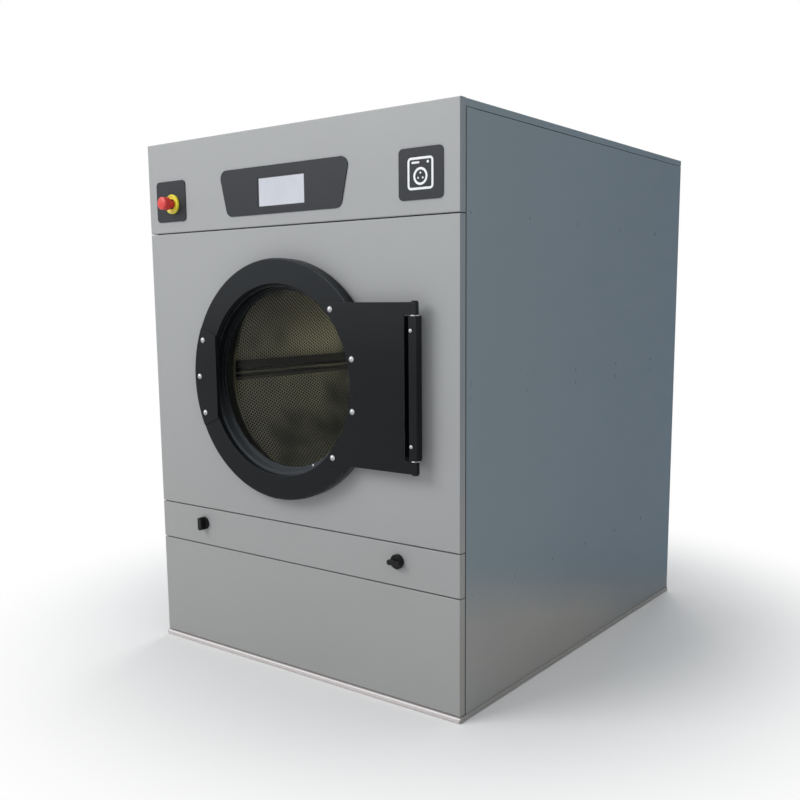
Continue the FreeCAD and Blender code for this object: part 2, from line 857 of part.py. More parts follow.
def drum_casing():
    crown = casing_radius + sheet
    bottom = drawer_top_z + 2 * bulkhead_margin
    start = behind(collar_depth)
    end = behind(rear_bulkhead_depth)

    def arch(radius):
        left = Vector(door_x - radius, start, door_z)
        right = Vector(door_x + radius, start, door_z)
        low_left = Vector(door_x - radius, start, bottom)
        low_right = Vector(door_x + radius, start, bottom)
        top = Vector(door_x, start, door_z + radius)
        edges = [Part.makeLine(low_left, left), Part.Arc(left, top, right).toShape(),
                 Part.makeLine(right, low_right), Part.makeLine(low_right, low_left)]
        return prism(edges, Vector(0, end - start, 0))

    slot = block(door_x - heater_slot, door_x + heater_slot, behind(heater_start + heater_slot / 2),
                 behind(heater_start + heater_length - heater_slot / 2), door_z, door_z + crown)
    return arch(crown).cut([arch(casing_radius), slot])


def rear_bulkhead():
    front = behind(rear_bulkhead_depth)
    wall = block(-rail_half, rail_half, front, front + bulkhead,
                 drawer_top_z + bulkhead_margin, fascia_bottom_z - bulkhead_margin)
    return wall.cut(rod_y(shaft_radius + bulkhead_margin, door_x, door_z, front, front + bulkhead))


def bearing_beam():
    front = behind(beam_start)
    back = behind(beam_start + beam_depth)
    top = door_z - housing_arch
    bottom = top - beam_height
    beam = block(-rail_half, rail_half, front, back, bottom, top)
    hollow = block(-rail_half, rail_half, front + beam_wall, back - beam_wall, bottom, top - beam_wall)
    ends = [block(*sorted((side * rail_half, side * (rail_half - beam_wall))), front, back,
                  bottom, side_rail_heights[1]) for side in (-1, 1)]
    return beam.cut(hollow).fuse(ends).removeSplitter()


def bearing_places():
    """Y of the front face of each bearing housing."""
    return (behind(beam_start), behind(beam_start + beam_depth - housing_width))


def bearing_housings():
    base_z = door_z - housing_arch
    blocks = []
    for y in bearing_places():
        base = block(door_x - housing_half_base, door_x + housing_half_base, y, y + housing_width,
                     base_z, base_z + housing_foot)
        cheek = block(door_x - housing_arch, door_x + housing_arch, y, y + housing_width, base_z, door_z)
        arch = rod_y(housing_arch, door_x, door_z, y, y + housing_width)
        bore = rod_y(bearing_radius, door_x, door_z, y, y + housing_width)
        blocks.append(base.fuse([cheek, arch]).removeSplitter().cut(bore))
    return Part.Compound(blocks)


def shaft_bearings():
    rings = []
    for y in bearing_places():
        end = y + housing_width
        rings.append(turned([(shaft_radius + fit, y), (bearing_radius - fit, y),
                             (bearing_radius - fit, end), (shaft_radius + fit, end)]))
    return Part.Compound(rings)


def grooved_rim(radius, inside, x, z):
    """A pulley rim with a flat groove for the belt."""
    start = behind(belt_depth)
    end = start + pulley_width
    flange = (pulley_width - belt_width) / 2 - belt_side_gap
    crest = radius + pulley_flange
    return turned([(inside, start), (crest, start), (radius, start + flange),
                   (radius, end - flange), (crest, end), (inside, end)], x, z)


def drum_pulley():
    start = behind(belt_depth)
    end = start + pulley_width
    middle = (start + end) / 2
    rim = grooved_rim(pulley_radius, pulley_radius - 3 * pulley_flange, door_x, door_z)
    web = rod_y(pulley_radius - 2 * pulley_flange, door_x, door_z,
                middle - pulley_web / 2, middle + pulley_web / 2)
    x, z = polar((pulley_radius + pulley_hub) / 2 - pulley_flange, 90)
    window = rod_y(pulley_window_radius, x, z, start, end)
    hub = rod_y(pulley_hub, door_x, door_z, start, end)
    bore = rod_y(shaft_radius, door_x, door_z, start, end)
    return web.cut(around_drum(window, pulley_windows)).fuse([rim, hub]).removeSplitter().cut(bore)


def motor_pulley():
    rim = grooved_rim(motor_pulley_radius, motor_shaft_radius, motor_x, motor_z)
    motor_front = behind(belt_depth - motor_gap) - motor_length / 4
    shaft = rod_y(motor_shaft_radius, motor_x, motor_z, motor_front, behind(belt_depth) + pulley_width)
    return rim.fuse(shaft).removeSplitter()


def drive_motor():
    back = behind(belt_depth - motor_gap)
    front = back - motor_length
    bell = motor_length / 6
    body = rod_y(motor_radius, motor_x, motor_z, front + bell, back - bell)
    bells = rod_y(motor_bell_radius, motor_x, motor_z, front, back)
    fin = block(motor_x - sheet, motor_x + sheet, front + bell, back - bell,
                motor_z + motor_radius - sheet, motor_z + motor_radius + motor_fin)
    fins = []
    for k in range(1, motor_fins):
        rib = fin.copy()
        rib.rotate(Vector(motor_x, 0, motor_z), Vector(0, 1, 0), motor_fin_angle * (k / motor_fins - 0.5))
        fins.append(rib)
    foot = block(motor_x - motor_radius, motor_x + motor_radius, front + bell, back - bell,
                 motor_z - motor_radius - motor_fin, motor_z - motor_radius / 2)
    bore = rod_y(motor_shaft_radius + fit, motor_x, motor_z, back - motor_length / 4 - running_gap, back)
    return body.fuse([bells, foot] + fins).removeSplitter().cut(bore)


def motor_stand():
    back = behind(belt_depth - motor_gap)
    front = back - motor_length
    top = motor_z - motor_radius - motor_fin
    outer = block(motor_x - stand_half_width, motor_x + stand_half_width, front, back, base_height, top)
    hollow = block(motor_x - stand_half_width + stand_sheet, motor_x + stand_half_width - stand_sheet,
                   front, back, base_height, top - stand_sheet)
    return outer.cut(hollow)


def belt_loop(spare, start, way):
    """The solid inside a taut loop round both pulleys, spare mm outside their grooves."""
    big = pulley_radius + spare
    small = motor_pulley_radius + spare
    centre = Vector(door_x, start, door_z)
    other = Vector(motor_x, start, motor_z)
    along = (other - centre).normalize()
    across = Vector(-along.z, 0, along.x)
    lean = (big - small) / (other - centre).Length
    spread = math.sqrt(1 - lean ** 2)
    one = along * lean + across * spread
    two = along * lean - across * spread
    edges = [Part.makeLine(centre + one * big, other + one * small),
             Part.Arc(other + one * small, other + along * small, other + two * small).toShape(),
             Part.makeLine(other + two * small, centre + two * big),
             Part.Arc(centre + two * big, centre - along * big, centre + one * big).toShape()]
    return prism(edges, way)


def drive_belt():
    start = behind(belt_depth) + (pulley_width - belt_width) / 2
    way = Vector(0, belt_width, 0)
    return belt_loop(running_gap + belt_thickness, start, way).cut(belt_loop(running_gap, start, way))


# Heater

def heater_box():
    start = behind(heater_start)
    end = start + heater_length
    outer = block(door_x - heater_half_width, door_x + heater_half_width, start, end, door_z, heater_top)
    hollow = block(door_x - heater_half_width + sheet, door_x + heater_half_width - sheet,
                   start + sheet, end - sheet, door_z, heater_top - sheet)
    saddle = rod_y(casing_radius + sheet, door_x, door_z, start, end)
    return outer.cut([hollow, saddle])


def heater_elements():
    start = behind(heater_start) + sheet
    straight_end = behind(heater_start + heater_length) - element_pitch
    z = (heater_top + door_z + casing_radius) / 2
    leg = element_pitch / 4
    pins = []
    for k in range(element_count):
        x = door_x + (k - (element_count - 1) / 2) * element_pitch
        bow = Part.makeTorus(leg, element_radius, Vector(x, straight_end, z), Vector(0, 0, 1))
        bow = bow.common(block(x - element_pitch, x + element_pitch,
                               straight_end, straight_end + element_pitch,
                               z - element_pitch, z + element_pitch))
        legs = [rod_y(element_radius, x + side * leg, z, start, straight_end) for side in (-1, 1)]
        pins.append(bow.fuse(legs))
    return Part.Compound(pins)


# Lint drawer

def drawer_front():
    panel = folded_panel(drawer_bottom_z + seam / 2, drawer_top_z - seam / 2, fold_depth - running_gap)
    holes = [rod_y(knob_shaft_radius + fit, x, knob_z, front_y, front_y + sheet) for x in (-knob_x, knob_x)]
    return panel.cut(holes)


def lint_tray():
    start = front_y + sheet
    end = front_y + tray_length
    outer = block(-tray_half_width, tray_half_width, start, end, tray_bottom, tray_top)
    hollow = block(-tray_half_width + sheet, tray_half_width - sheet, start + sheet, end - sheet,
                   tray_bottom + sheet, tray_top)
    vent = block(-tray_half_width + tray_ledge, tray_half_width - tray_ledge,
                 start + tray_ledge, end - tray_ledge, tray_bottom, tray_bottom + sheet)
    return outer.cut([hollow, vent])


def lint_screen():
    margin = tray_ledge / 2
    left = -tray_half_width + margin
    start = front_y + sheet + margin
    width = 2 * (tray_half_width - margin)
    length = tray_length - sheet - 2 * margin
    low = tray_bottom + sheet
    mesh = block(left, left + width, start, start + length, low, low + sheet)
    pitch_x = (width - screen_bar) / screen_columns
    pitch_y = (length - screen_bar) / screen_rows
    gaps = [block(left + screen_bar + i * pitch_x, left + (i + 1) * pitch_x,
                  start + screen_bar + j * pitch_y, start + (j + 1) * pitch_y, low, low + sheet)
            for i in range(screen_columns) for j in range(screen_rows)]
    return mesh.cut(gaps)


def drawer_runners():
    low = tray_bottom - running_gap - stand_sheet
    wall = tray_half_width + running_gap
    rails = []
    for side in (-1, 1):
        shelf = block(*sorted((side * (wall + stand_sheet), side * (wall - tray_ledge))),
                      wrap_y, front_y + tray_length, low, low + stand_sheet)
        guide = block(*sorted((side * (wall + stand_sheet), side * wall)),
                      wrap_y + rail_leg, front_y + tray_length, low, low + tray_height / 2)
        rails.append(shelf.fuse(guide).removeSplitter())
    return Part.Compound(rails)


def latch_knob(x, wing_upright):
    """A turn knob with its shaft and cam; the cam lies level, clear of the rails."""
    base = rod_y(knob_base_radius, x, knob_z, ahead(knob_base), ahead(running_gap))
    crest = knob_base + knob_wing
    half = knob_wing_half
    thick = knob_wing_width
    size = (thick, 2 * half) if wing_upright else (2 * half, thick)
    wing = rounded_plate(rectangle(x, knob_z, *size), knob_round, ahead(crest), ahead(knob_base))
    cam_y = wrap_y + angle_steel + running_gap
    shaft = rod_y(knob_shaft_radius, x, knob_z, ahead(running_gap), cam_y + cam_thickness)
    outward = math.copysign(1, x)
    cam = block(*sorted((x - outward * cam_width / 2, x + outward * cam_length)),
                cam_y, cam_y + cam_thickness, knob_z - cam_width / 2, knob_z + cam_width / 2)
    return base.fuse([wing, shaft, cam]).removeSplitter()


def latch_knob_left():
    return latch_knob(-knob_x, True)


def latch_knob_right():
    return latch_knob(knob_x, False)


# Exhaust fan

def fan_point(radius, degrees, x):
    """A point about the fan's axis, which runs along X."""
    turn = math.radians(degrees)
    return Vector(x, behind(fan_depth) + radius * math.cos(turn), fan_z + radius * math.sin(turn))


def scroll_solid(inset, x0, x1):
    """The fan's scroll with its outlet, drawn in by an inset."""
    sweep = 270.0 + scroll_cutoff_angle
    spiral = [fan_point(scroll_start + (scroll_end - scroll_start) * k / scroll_steps - inset,
                        scroll_cutoff_angle - sweep * k / scroll_steps, x0) for k in range(scroll_steps + 1)]
    curve = Part.BSplineCurve()
    curve.interpolate(spiral)
    mouth_y = behind(fan_depth + scroll_end + outlet_reach)
    corners = [spiral[-1], Vector(x0, mouth_y, spiral[-1].z), Vector(x0, mouth_y, spiral[0].z + inset * 2)]
    edges = [curve.toShape(), Part.makeLine(corners[0], corners[1]), Part.makeLine(corners[1], corners[2])]
    if inset:
        lip = Vector(x0, spiral[0].y, corners[2].z)
        edges += [Part.makeLine(corners[2], lip), Part.makeLine(lip, spiral[0])]
    else:
        edges.append(Part.makeLine(corners[2], spiral[0]))
    return prism(edges, Vector(x1 - x0, 0, 0))


def fan_housing():
    outside = fan_half_width + sheet
    shell = scroll_solid(0, -outside, outside).cut(scroll_solid(sheet, -fan_half_width, fan_half_width))
    axis_y = behind(fan_depth)
    inlet = rod(inlet_radius, Vector(-outside, axis_y, fan_z), Vector(-fan_half_width, axis_y, fan_z))
    bore = rod(fan_bore_radius, Vector(fan_half_width, axis_y, fan_z), Vector(outside, axis_y, fan_z))
    feet = []
    for x in (-outside, outside - sheet):
        for y in (axis_y - scroll_start, axis_y + scroll_start - fan_foot):
            feet.append(block(x, x + sheet, y, y + fan_foot, base_height, fan_z))
    return shell.fuse(feet).removeSplitter().cut([inlet, bore])


def fan_impeller():
    axis_y = behind(fan_depth)
    half = fan_half_width - 3 * fan_rim
    disc_end = half + sheet
    disc = rod(fan_radius, Vector(half, axis_y, fan_z), Vector(disc_end, axis_y, fan_z))
    ring = rod(fan_radius, Vector(-half, axis_y, fan_z), Vector(fan_rim - half, axis_y, fan_z))
    ring = ring.cut(rod(blade_inner, Vector(-half, axis_y, fan_z), Vector(fan_rim - half, axis_y, fan_z)))
    middle = (fan_radius + blade_inner) / 2

    blade_start = fan_rim / 2 - half

    def blade_edge(spare):
        return [fan_point(blade_inner + blade_sheet, spare, blade_start),
                fan_point(middle, spare + blade_lean_angle, blade_start),
                fan_point(fan_radius - blade_sheet, spare, blade_start)]

    near = blade_edge(0.0)
    far = blade_edge(math.degrees(blade_sheet / middle))
    blade = prism([Part.Arc(*near).toShape(), Part.makeLine(near[2], far[2]),
                   Part.Arc(far[2], far[1], far[0]).toShape(), Part.makeLine(far[0], near[0])],
                  Vector(half + sheet / 2 - blade_start, 0, 0))
    blades = []
    for k in range(blade_count):
        copy = blade.copy()
        copy.rotate(Vector(0, axis_y, fan_z), Vector(1, 0, 0), 360.0 * k / blade_count)
        blades.append(copy)
    shaft = rod(fan_shaft_radius, Vector(half - 2 * fan_rim, axis_y, fan_z),
                Vector(fan_half_width + fan_motor_length / 4, axis_y, fan_z))
    boss = rod(fan_boss_radius, Vector(half - 2 * fan_rim, axis_y, fan_z), Vector(half, axis_y, fan_z))
    return disc.fuse([ring, shaft, boss] + blades).removeSplitter()


def fan_motor():
    axis_y = behind(fan_depth)
    start = fan_half_width + sheet
    flange_end = start + fan_foot / 3
    end = start + fan_motor_length
    flange = rod(fan_motor_radius + fan_motor_flange,
                 Vector(start, axis_y, fan_z), Vector(flange_end, axis_y, fan_z))
    body = rod(fan_motor_radius, Vector(flange_end, axis_y, fan_z), Vector(end - fan_foot, axis_y, fan_z))
    cowl = Part.makeCone(fan_motor_radius, fan_motor_radius - fan_motor_flange, fan_foot,
                         Vector(end - fan_foot, axis_y, fan_z), Vector(1, 0, 0))
    bore = rod(fan_shaft_radius + fit, Vector(start, axis_y, fan_z),
               Vector(start + fan_motor_length / 4, axis_y, fan_z))
    return flange.fuse([body, cowl]).removeSplitter().cut(bore)


def exhaust_duct():
    start = behind(fan_depth + scroll_end + outlet_reach)
    end = back_y - spigot_inside
    low = fan_point(scroll_start, scroll_cutoff_angle, 0).z
    high = fan_z + scroll_end

    def skin(inset):
        half = fan_half_width + sheet - inset
        square = [Vector(x, start, z) for x, z in
                  ((-half, low + inset), (half, low + inset), (half, high - inset), (-half, high - inset))]
        radius = spigot_radius - inset
        around = []
        for k in range(4):
            points = []
            for turn in (225 + 90 * k, 270 + 90 * k, 315 + 90 * k):
                points.append(Vector(spigot_x + radius * math.cos(math.radians(turn)), end,
                                     spigot_z + radius * math.sin(math.radians(turn))))
            around.append(Part.Arc(*points).toShape())
        return Part.makeLoft([Part.Wire(lines(square)), Part.Wire(around)], True, True)

    return skin(0).cut(skin(sheet))


def exhaust_spigot():
    start = back_y - spigot_inside
    end = back_y + spigot_reach
    wall = rod_y(spigot_radius, spigot_x, spigot_z, start, end)
    flange = rod_y(spigot_radius + spigot_flange, spigot_x, spigot_z, back_y, back_y + angle_steel)
    bore = rod_y(spigot_radius - sheet, spigot_x, spigot_z, start, end)
    return wall.fuse(flange).removeSplitter().cut(bore)


# Rear fittings

def terminal_box():
    outline = rectangle(terminal_x, terminal_z, terminal_width, terminal_height)
    body = rounded_plate(outline, badge_corner, back_y, back_y + terminal_depth)
    rim = [e for e in body.Edges if all(abs(v.Y - back_y - terminal_depth) < fit for v in e.Vertexes)]
    body = body.makeFillet(ring_round, rim)
    floor = terminal_z - terminal_height / 2
    return body.cut(rod_z(gland_bore, terminal_x, back_y + terminal_depth / 2, floor, floor + gland_length))


def cable_gland():
    top = terminal_z - terminal_height / 2
    y = back_y + terminal_depth / 2
    corners = [Vector(terminal_x + gland_radius * math.cos(math.radians(60 * k)),
                      y + gland_radius * math.sin(math.radians(60 * k)), top) for k in range(6)]
    hexagon = prism(lines(corners), Vector(0, 0, -gland_length / 3))
    nut = Part.makeCone(gland_nut_radius, gland_tip_radius, gland_length * 2 / 3,
                        Vector(terminal_x, y, top - gland_length / 3), Vector(0, 0, -1))
    bore = rod_z(gland_bore, terminal_x, y, top - gland_length, top)
    return hexagon.fuse(nut).removeSplitter().cut(bore)


nodes = [
    base_tray, levelling_feet, inner_frame, side_panel_left, side_panel_right, top_lid, rear_panel,
    control_fascia, door_panel, lower_panel,
    display_bezel, touch_screen, capacity_plate, stop_plate, stop_collar, stop_stem, stop_head,
    door_ring, door_pan, hinge_plate, handle_plate, door_glass, glass_clamp, door_gasket, door_screws,
    door_magnet, hinge_block, hinge_pin, hinge_washers,
    front_bulkhead, drum_seal, drum_casing, rear_bulkhead,
    drum_shell, drum_rear, drum_lifters, drum_spider, drum_pulley,
    bearing_beam, bearing_housings, shaft_bearings,
    drive_motor, motor_stand, motor_pulley, drive_belt,
    heater_box, heater_elements,
    drawer_front, lint_tray, lint_screen, drawer_runners, latch_knob_left, latch_knob_right,
    fan_housing, fan_impeller, fan_motor, exhaust_duct, exhaust_spigot,
    terminal_box, cable_gland,
]

os.makedirs("parts", exist_ok=True)
for node in nodes:
    shape = node()
    state = "valid" if shape.isValid() else "NOT VALID"
    print(node.__name__, state, "solids", len(shape.Solids), "litres", round(shape.Volume / 1e6, 3))
    shape.exportStep("parts/" + node.__name__ + ".step")
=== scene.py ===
"""Looks of an industrial clothes dryer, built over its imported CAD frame. Metres; the front faces -Y."""

import json
import math

import bmesh
import bpy
from mathutils import Matrix, Vector, noise as lattice

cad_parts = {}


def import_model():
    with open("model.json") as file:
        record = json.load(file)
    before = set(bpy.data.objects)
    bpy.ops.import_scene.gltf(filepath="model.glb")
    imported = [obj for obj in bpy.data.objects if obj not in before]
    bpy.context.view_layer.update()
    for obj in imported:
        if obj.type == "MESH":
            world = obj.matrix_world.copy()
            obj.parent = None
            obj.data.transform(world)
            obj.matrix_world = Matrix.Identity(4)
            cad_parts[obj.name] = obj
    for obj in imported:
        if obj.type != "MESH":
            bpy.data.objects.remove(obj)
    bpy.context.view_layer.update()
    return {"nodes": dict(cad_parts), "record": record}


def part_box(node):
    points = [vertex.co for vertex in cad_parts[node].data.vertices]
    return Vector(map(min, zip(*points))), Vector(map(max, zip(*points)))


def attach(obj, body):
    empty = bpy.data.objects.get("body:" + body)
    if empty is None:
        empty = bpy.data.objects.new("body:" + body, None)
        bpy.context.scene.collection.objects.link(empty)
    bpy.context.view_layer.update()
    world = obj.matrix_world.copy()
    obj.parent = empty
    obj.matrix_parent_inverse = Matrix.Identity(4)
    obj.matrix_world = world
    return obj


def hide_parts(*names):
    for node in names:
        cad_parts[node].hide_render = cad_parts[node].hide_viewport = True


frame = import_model()
nodes = frame["nodes"]
scene = bpy.context.scene

# Places taken from the frame
ring_low, ring_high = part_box("door_ring")
door_x = (ring_low.x + ring_high.x) / 2
door_z = (ring_low.z + ring_high.z) / 2
front_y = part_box("door_panel")[0].y
side_low, side_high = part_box("side_panel_right")
rear_low, rear_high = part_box("rear_panel")
rail_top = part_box("base_tray")[1].z
hinge_low, hinge_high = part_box("hinge_block")
drum_low, drum_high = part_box("drum_shell")
drum_radius = (drum_high.x - drum_low.x) / 2
lifter_crest = min(math.hypot(corner.co.x - door_x, corner.co.z - door_z)
                   for corner in nodes["drum_lifters"].data.vertices)

# Camera, solved from the corners of the cabinet in the photograph
camera_place = Vector((1.9550, -2.7686, 1.1447))
camera_yaw = 0.6496
camera_pitch = 0.1477
camera_roll = 0.0086
picture_side = 800.0
focal_pixels = 947.4
axis_row = 440.0
sensor_width = 36.0

# Colours of painted shade, shadows, highlights and reflections, of a tone towards the bottom, of the screen
# and of the surroundings
# Tone the front takes towards the bottom: darker and warmer
front_low_tone = (0.285, 0.274, 0.260, 1.0)
# Painted reflection: the floor's warm light on the sides, towards the bottom
side_floor_reflection = (0.345, 0.330, 0.308, 1.0)
# Painted shade and sky reflection: the sides are a darker, bluer copy of the front's grey
side_shade_and_sky_color = (0.206, 0.257, 0.288)
# Painted sky reflection: the tone the sides and top turn to towards the rear
rear_sky_reflection_color = (0.124, 0.182, 0.232)
# Painted shade: tones of the panels' folds at the cabinet's sides, low and high
fold_low_shade_color = (0.275, 0.270, 0.258)
fold_high_shade_color = (0.172, 0.203, 0.232)
# Painted shade: black for the inside of the door's mouth
mouth_shade_black = (0.012, 0.012, 0.013, 1.0)
# Painted shadow: black on the panel below the hinge
hinge_shadow_black = (0.007, 0.008, 0.009, 1.0)
hole_black = (0.006, 0.006, 0.006, 1.0)
# Painted shadow: the dark of the seam at the front of the sides
seam_shadow_color = (0.070, 0.080, 0.082, 1.0)
# Painted highlight: the bright line along the rail's front crest
rail_highlight_color = (0.93, 0.92, 0.91, 1.0)
# Painted highlight: the bright line along a lifter's crest
lifter_highlight_color = (0.62, 0.57, 0.48, 1.0)
screen_border = (0.03, 0.032, 0.036, 1.0)
screen_dim = (0.47, 0.495, 0.555, 1.0)
screen_pale = (0.59, 0.60, 0.65, 1.0)
floor_grey = (0.86, 0.86, 0.86, 1.0)
sky_white = (0.96, 0.98, 1.0, 1.0)
pure_white = (1.0, 1.0, 1.0, 1.0)

# Width over which a painted border changes from one tone to the other
border_blur = 0.001


# Building materials

class Finish:
    """A material and short ways to add nodes to it."""

    def __init__(self, name):
        self.material = bpy.data.materials.new(name)
        self.material.use_nodes = True
        self.tree = self.material.node_tree
        self.shader = self.tree.nodes["Principled BSDF"]
        self.place = self.add("ShaderNodeTexCoord").outputs["Object"]

    def add(self, kind, inputs=None, **settings):
        node = self.tree.nodes.new(kind)
        for key, value in settings.items():
            setattr(node, key, value)
        self.feed(node, inputs or {})
        return node

    def feed(self, node, inputs):
        for key, value in inputs.items():
            if isinstance(value, bpy.types.NodeSocket):
                self.tree.links.new(value, node.inputs[key])
            else:
                node.inputs[key].default_value = value

    def surface(self, inputs):
        """Sets or links sockets of the main shader."""
        self.feed(self.shader, inputs)
        return self

    def noise(self, scale, detail=2.0, stretch=(1, 1, 1)):
        """Noise over the surface, whose coordinates are scaled along each axis."""
        vector = self.add("ShaderNodeMapping", {"Vector": self.place, "Scale": stretch}).outputs[0]
        return self.add("ShaderNodeTexNoise", {"Vector": vector, "Scale": scale, "Detail": detail}).outputs[0]

    def spread(self, value, low, high, start=0.0, end=1.0, smooth=False):
        """Maps a value from start..end to low..high."""
        kind = "SMOOTHSTEP" if smooth else "LINEAR"
        node = self.add("ShaderNodeMapRange", interpolation_type=kind)
        self.feed(node, {0: value, 1: start, 2: end, 3: low, 4: high})
        return node.outputs[0]

    def rise(self, value, start, end, smooth=False):
        """0 up to start and 1 from end on."""
        return self.spread(value, 0.0, 1.0, start, end, smooth)

    def fall(self, value, start, end, smooth=False):
        """1 up to start and 0 from end on."""
        return self.spread(value, 1.0, 0.0, start, end, smooth)

    def between(self, value, low, high, blur):
        """1 between low and high, fading to 0 at both."""
        return self.math("MULTIPLY", self.rise(value, low, low + blur), self.fall(value, high - blur, high))

    def mix(self, factor, first, second):
        node = self.add("ShaderNodeMix", data_type="RGBA")
        self.feed(node, {0: factor, 6: first, 7: second})
        return node.outputs[2]

    def math(self, operation, first, second=0.0):
        return self.add("ShaderNodeMath", {0: first, 1: second}, operation=operation).outputs[0]

    def vector(self, operation, first, second=(0, 0, 0)):
        node = self.add("ShaderNodeVectorMath", {0: first, 1: second}, operation=operation)
        return node.outputs["Value"] if operation in ("LENGTH", "DOT_PRODUCT") else node.outputs["Vector"]

    def split(self):
        """The surface's coordinates, one by one."""
        return self.add("ShaderNodeSeparateXYZ", {0: self.place}).outputs

    def flat(self, across, along):
        """A vector in a plane."""
        return self.add("ShaderNodeCombineXYZ", {0: across, 1: along}).outputs[0]

    def from_axis(self):
        """The distance from the axis that door and drum share."""
        x, _, z = self.split()
        reach = self.flat(self.math("SUBTRACT", x, door_x), self.math("SUBTRACT", z, door_z))
        return self.vector("LENGTH", reach)

    def soft_edges(self, radius):
        """A normal that rounds the edges, and a factor that is 1 on an edge and 0 on a flat."""
        bevel = self.add("ShaderNodeBevel", {"Radius": radius}, samples=4).outputs[0]
        straight = self.add("ShaderNodeNewGeometry").outputs["True Normal"]
        likeness = self.vector("DOT_PRODUCT", bevel, straight)
        on_edge = 0.80
        on_flat = 0.99
        return bevel, self.fall(likeness, on_edge, on_flat)

    def bump(self, height, strength, distance, normal=None):
        inputs = {"Height": height, "Strength": strength, "Distance": distance}
        if normal:
            inputs["Normal"] = normal
        return self.add("ShaderNodeBump", inputs).outputs[0]


def shade(color, factor):
    return tuple(min(1.0, channel * factor) for channel in color[:3]) + (1.0,)


def varied(look, factor, color, dark, light):
    """The colour times dark where the factor is 0 and times light where it is 1."""
    return look.mix(factor, shade(color, dark), shade(color, light))


def clouded(look, color, cloud):
    return varied(look, look.noise(1.6, 3.0), color, 1 - cloud, 1 + cloud)


def painted_fold_shade(look, paint, cloud):
    """Painted shade: where a panel's fold turns back at the cabinet's sides it takes a darker tone, warmer
    low down and bluer high up.
    """
    x, _, z = look.split()
    fold_start = side_high.x - 0.0018
    fold_end = side_high.x - 0.0003
    low_z = 0.25
    high_z = 0.95
    fold_shade = look.mix(look.rise(z, low_z, high_z, smooth=True), clouded(look, fold_low_shade_color, cloud),
                    clouded(look, fold_high_shade_color, cloud))
    return look.mix(look.rise(look.math("ABSOLUTE", x), fold_start, fold_end), paint, fold_shade)


def painted_hinge_shadow(look, paint):
    """Painted shadow: the panel is black just below the hinge block's flange, where shade falls."""
    x, _, z = look.split()
    width = 0.034
    reach_down = 0.022
    reach_up = 0.005
    foot = look.math("MULTIPLY", look.between(x, hinge_low.x, hinge_low.x + width, border_blur),
                     look.between(z, hinge_low.z - reach_down, hinge_low.z + reach_up, border_blur))
    return look.mix(foot, paint, hinge_shadow_black)


def painted_rail_highlight(look, paint, crest):
    """Painted highlight: a bright band along the crest of a rail's front."""
    _, y, z = look.split()
    band_low = crest - 0.0044
    band_high = crest - 0.0032
    lip_front = front_y - 0.0036
    lip_back = front_y - 0.0018
    top = look.rise(z, band_low, band_high)
    front = look.fall(y, lip_front, lip_back)
    return look.mix(look.math("MULTIPLY", top, front), paint, rail_highlight_color)


def painted_seam_shadow(look, coat, seam):
    """Painted shadow: a dark band at the front edge of a side stands for the shade in the seam, but not over
    its top.
    """
    _, y, z = look.split()
    seam_shadow = look.math("MULTIPLY", look.fall(y, seam, seam + border_blur),
                     look.fall(z, side_high.z - border_blur, side_high.z))
    return look.mix(seam_shadow, coat, seam_shadow_color)


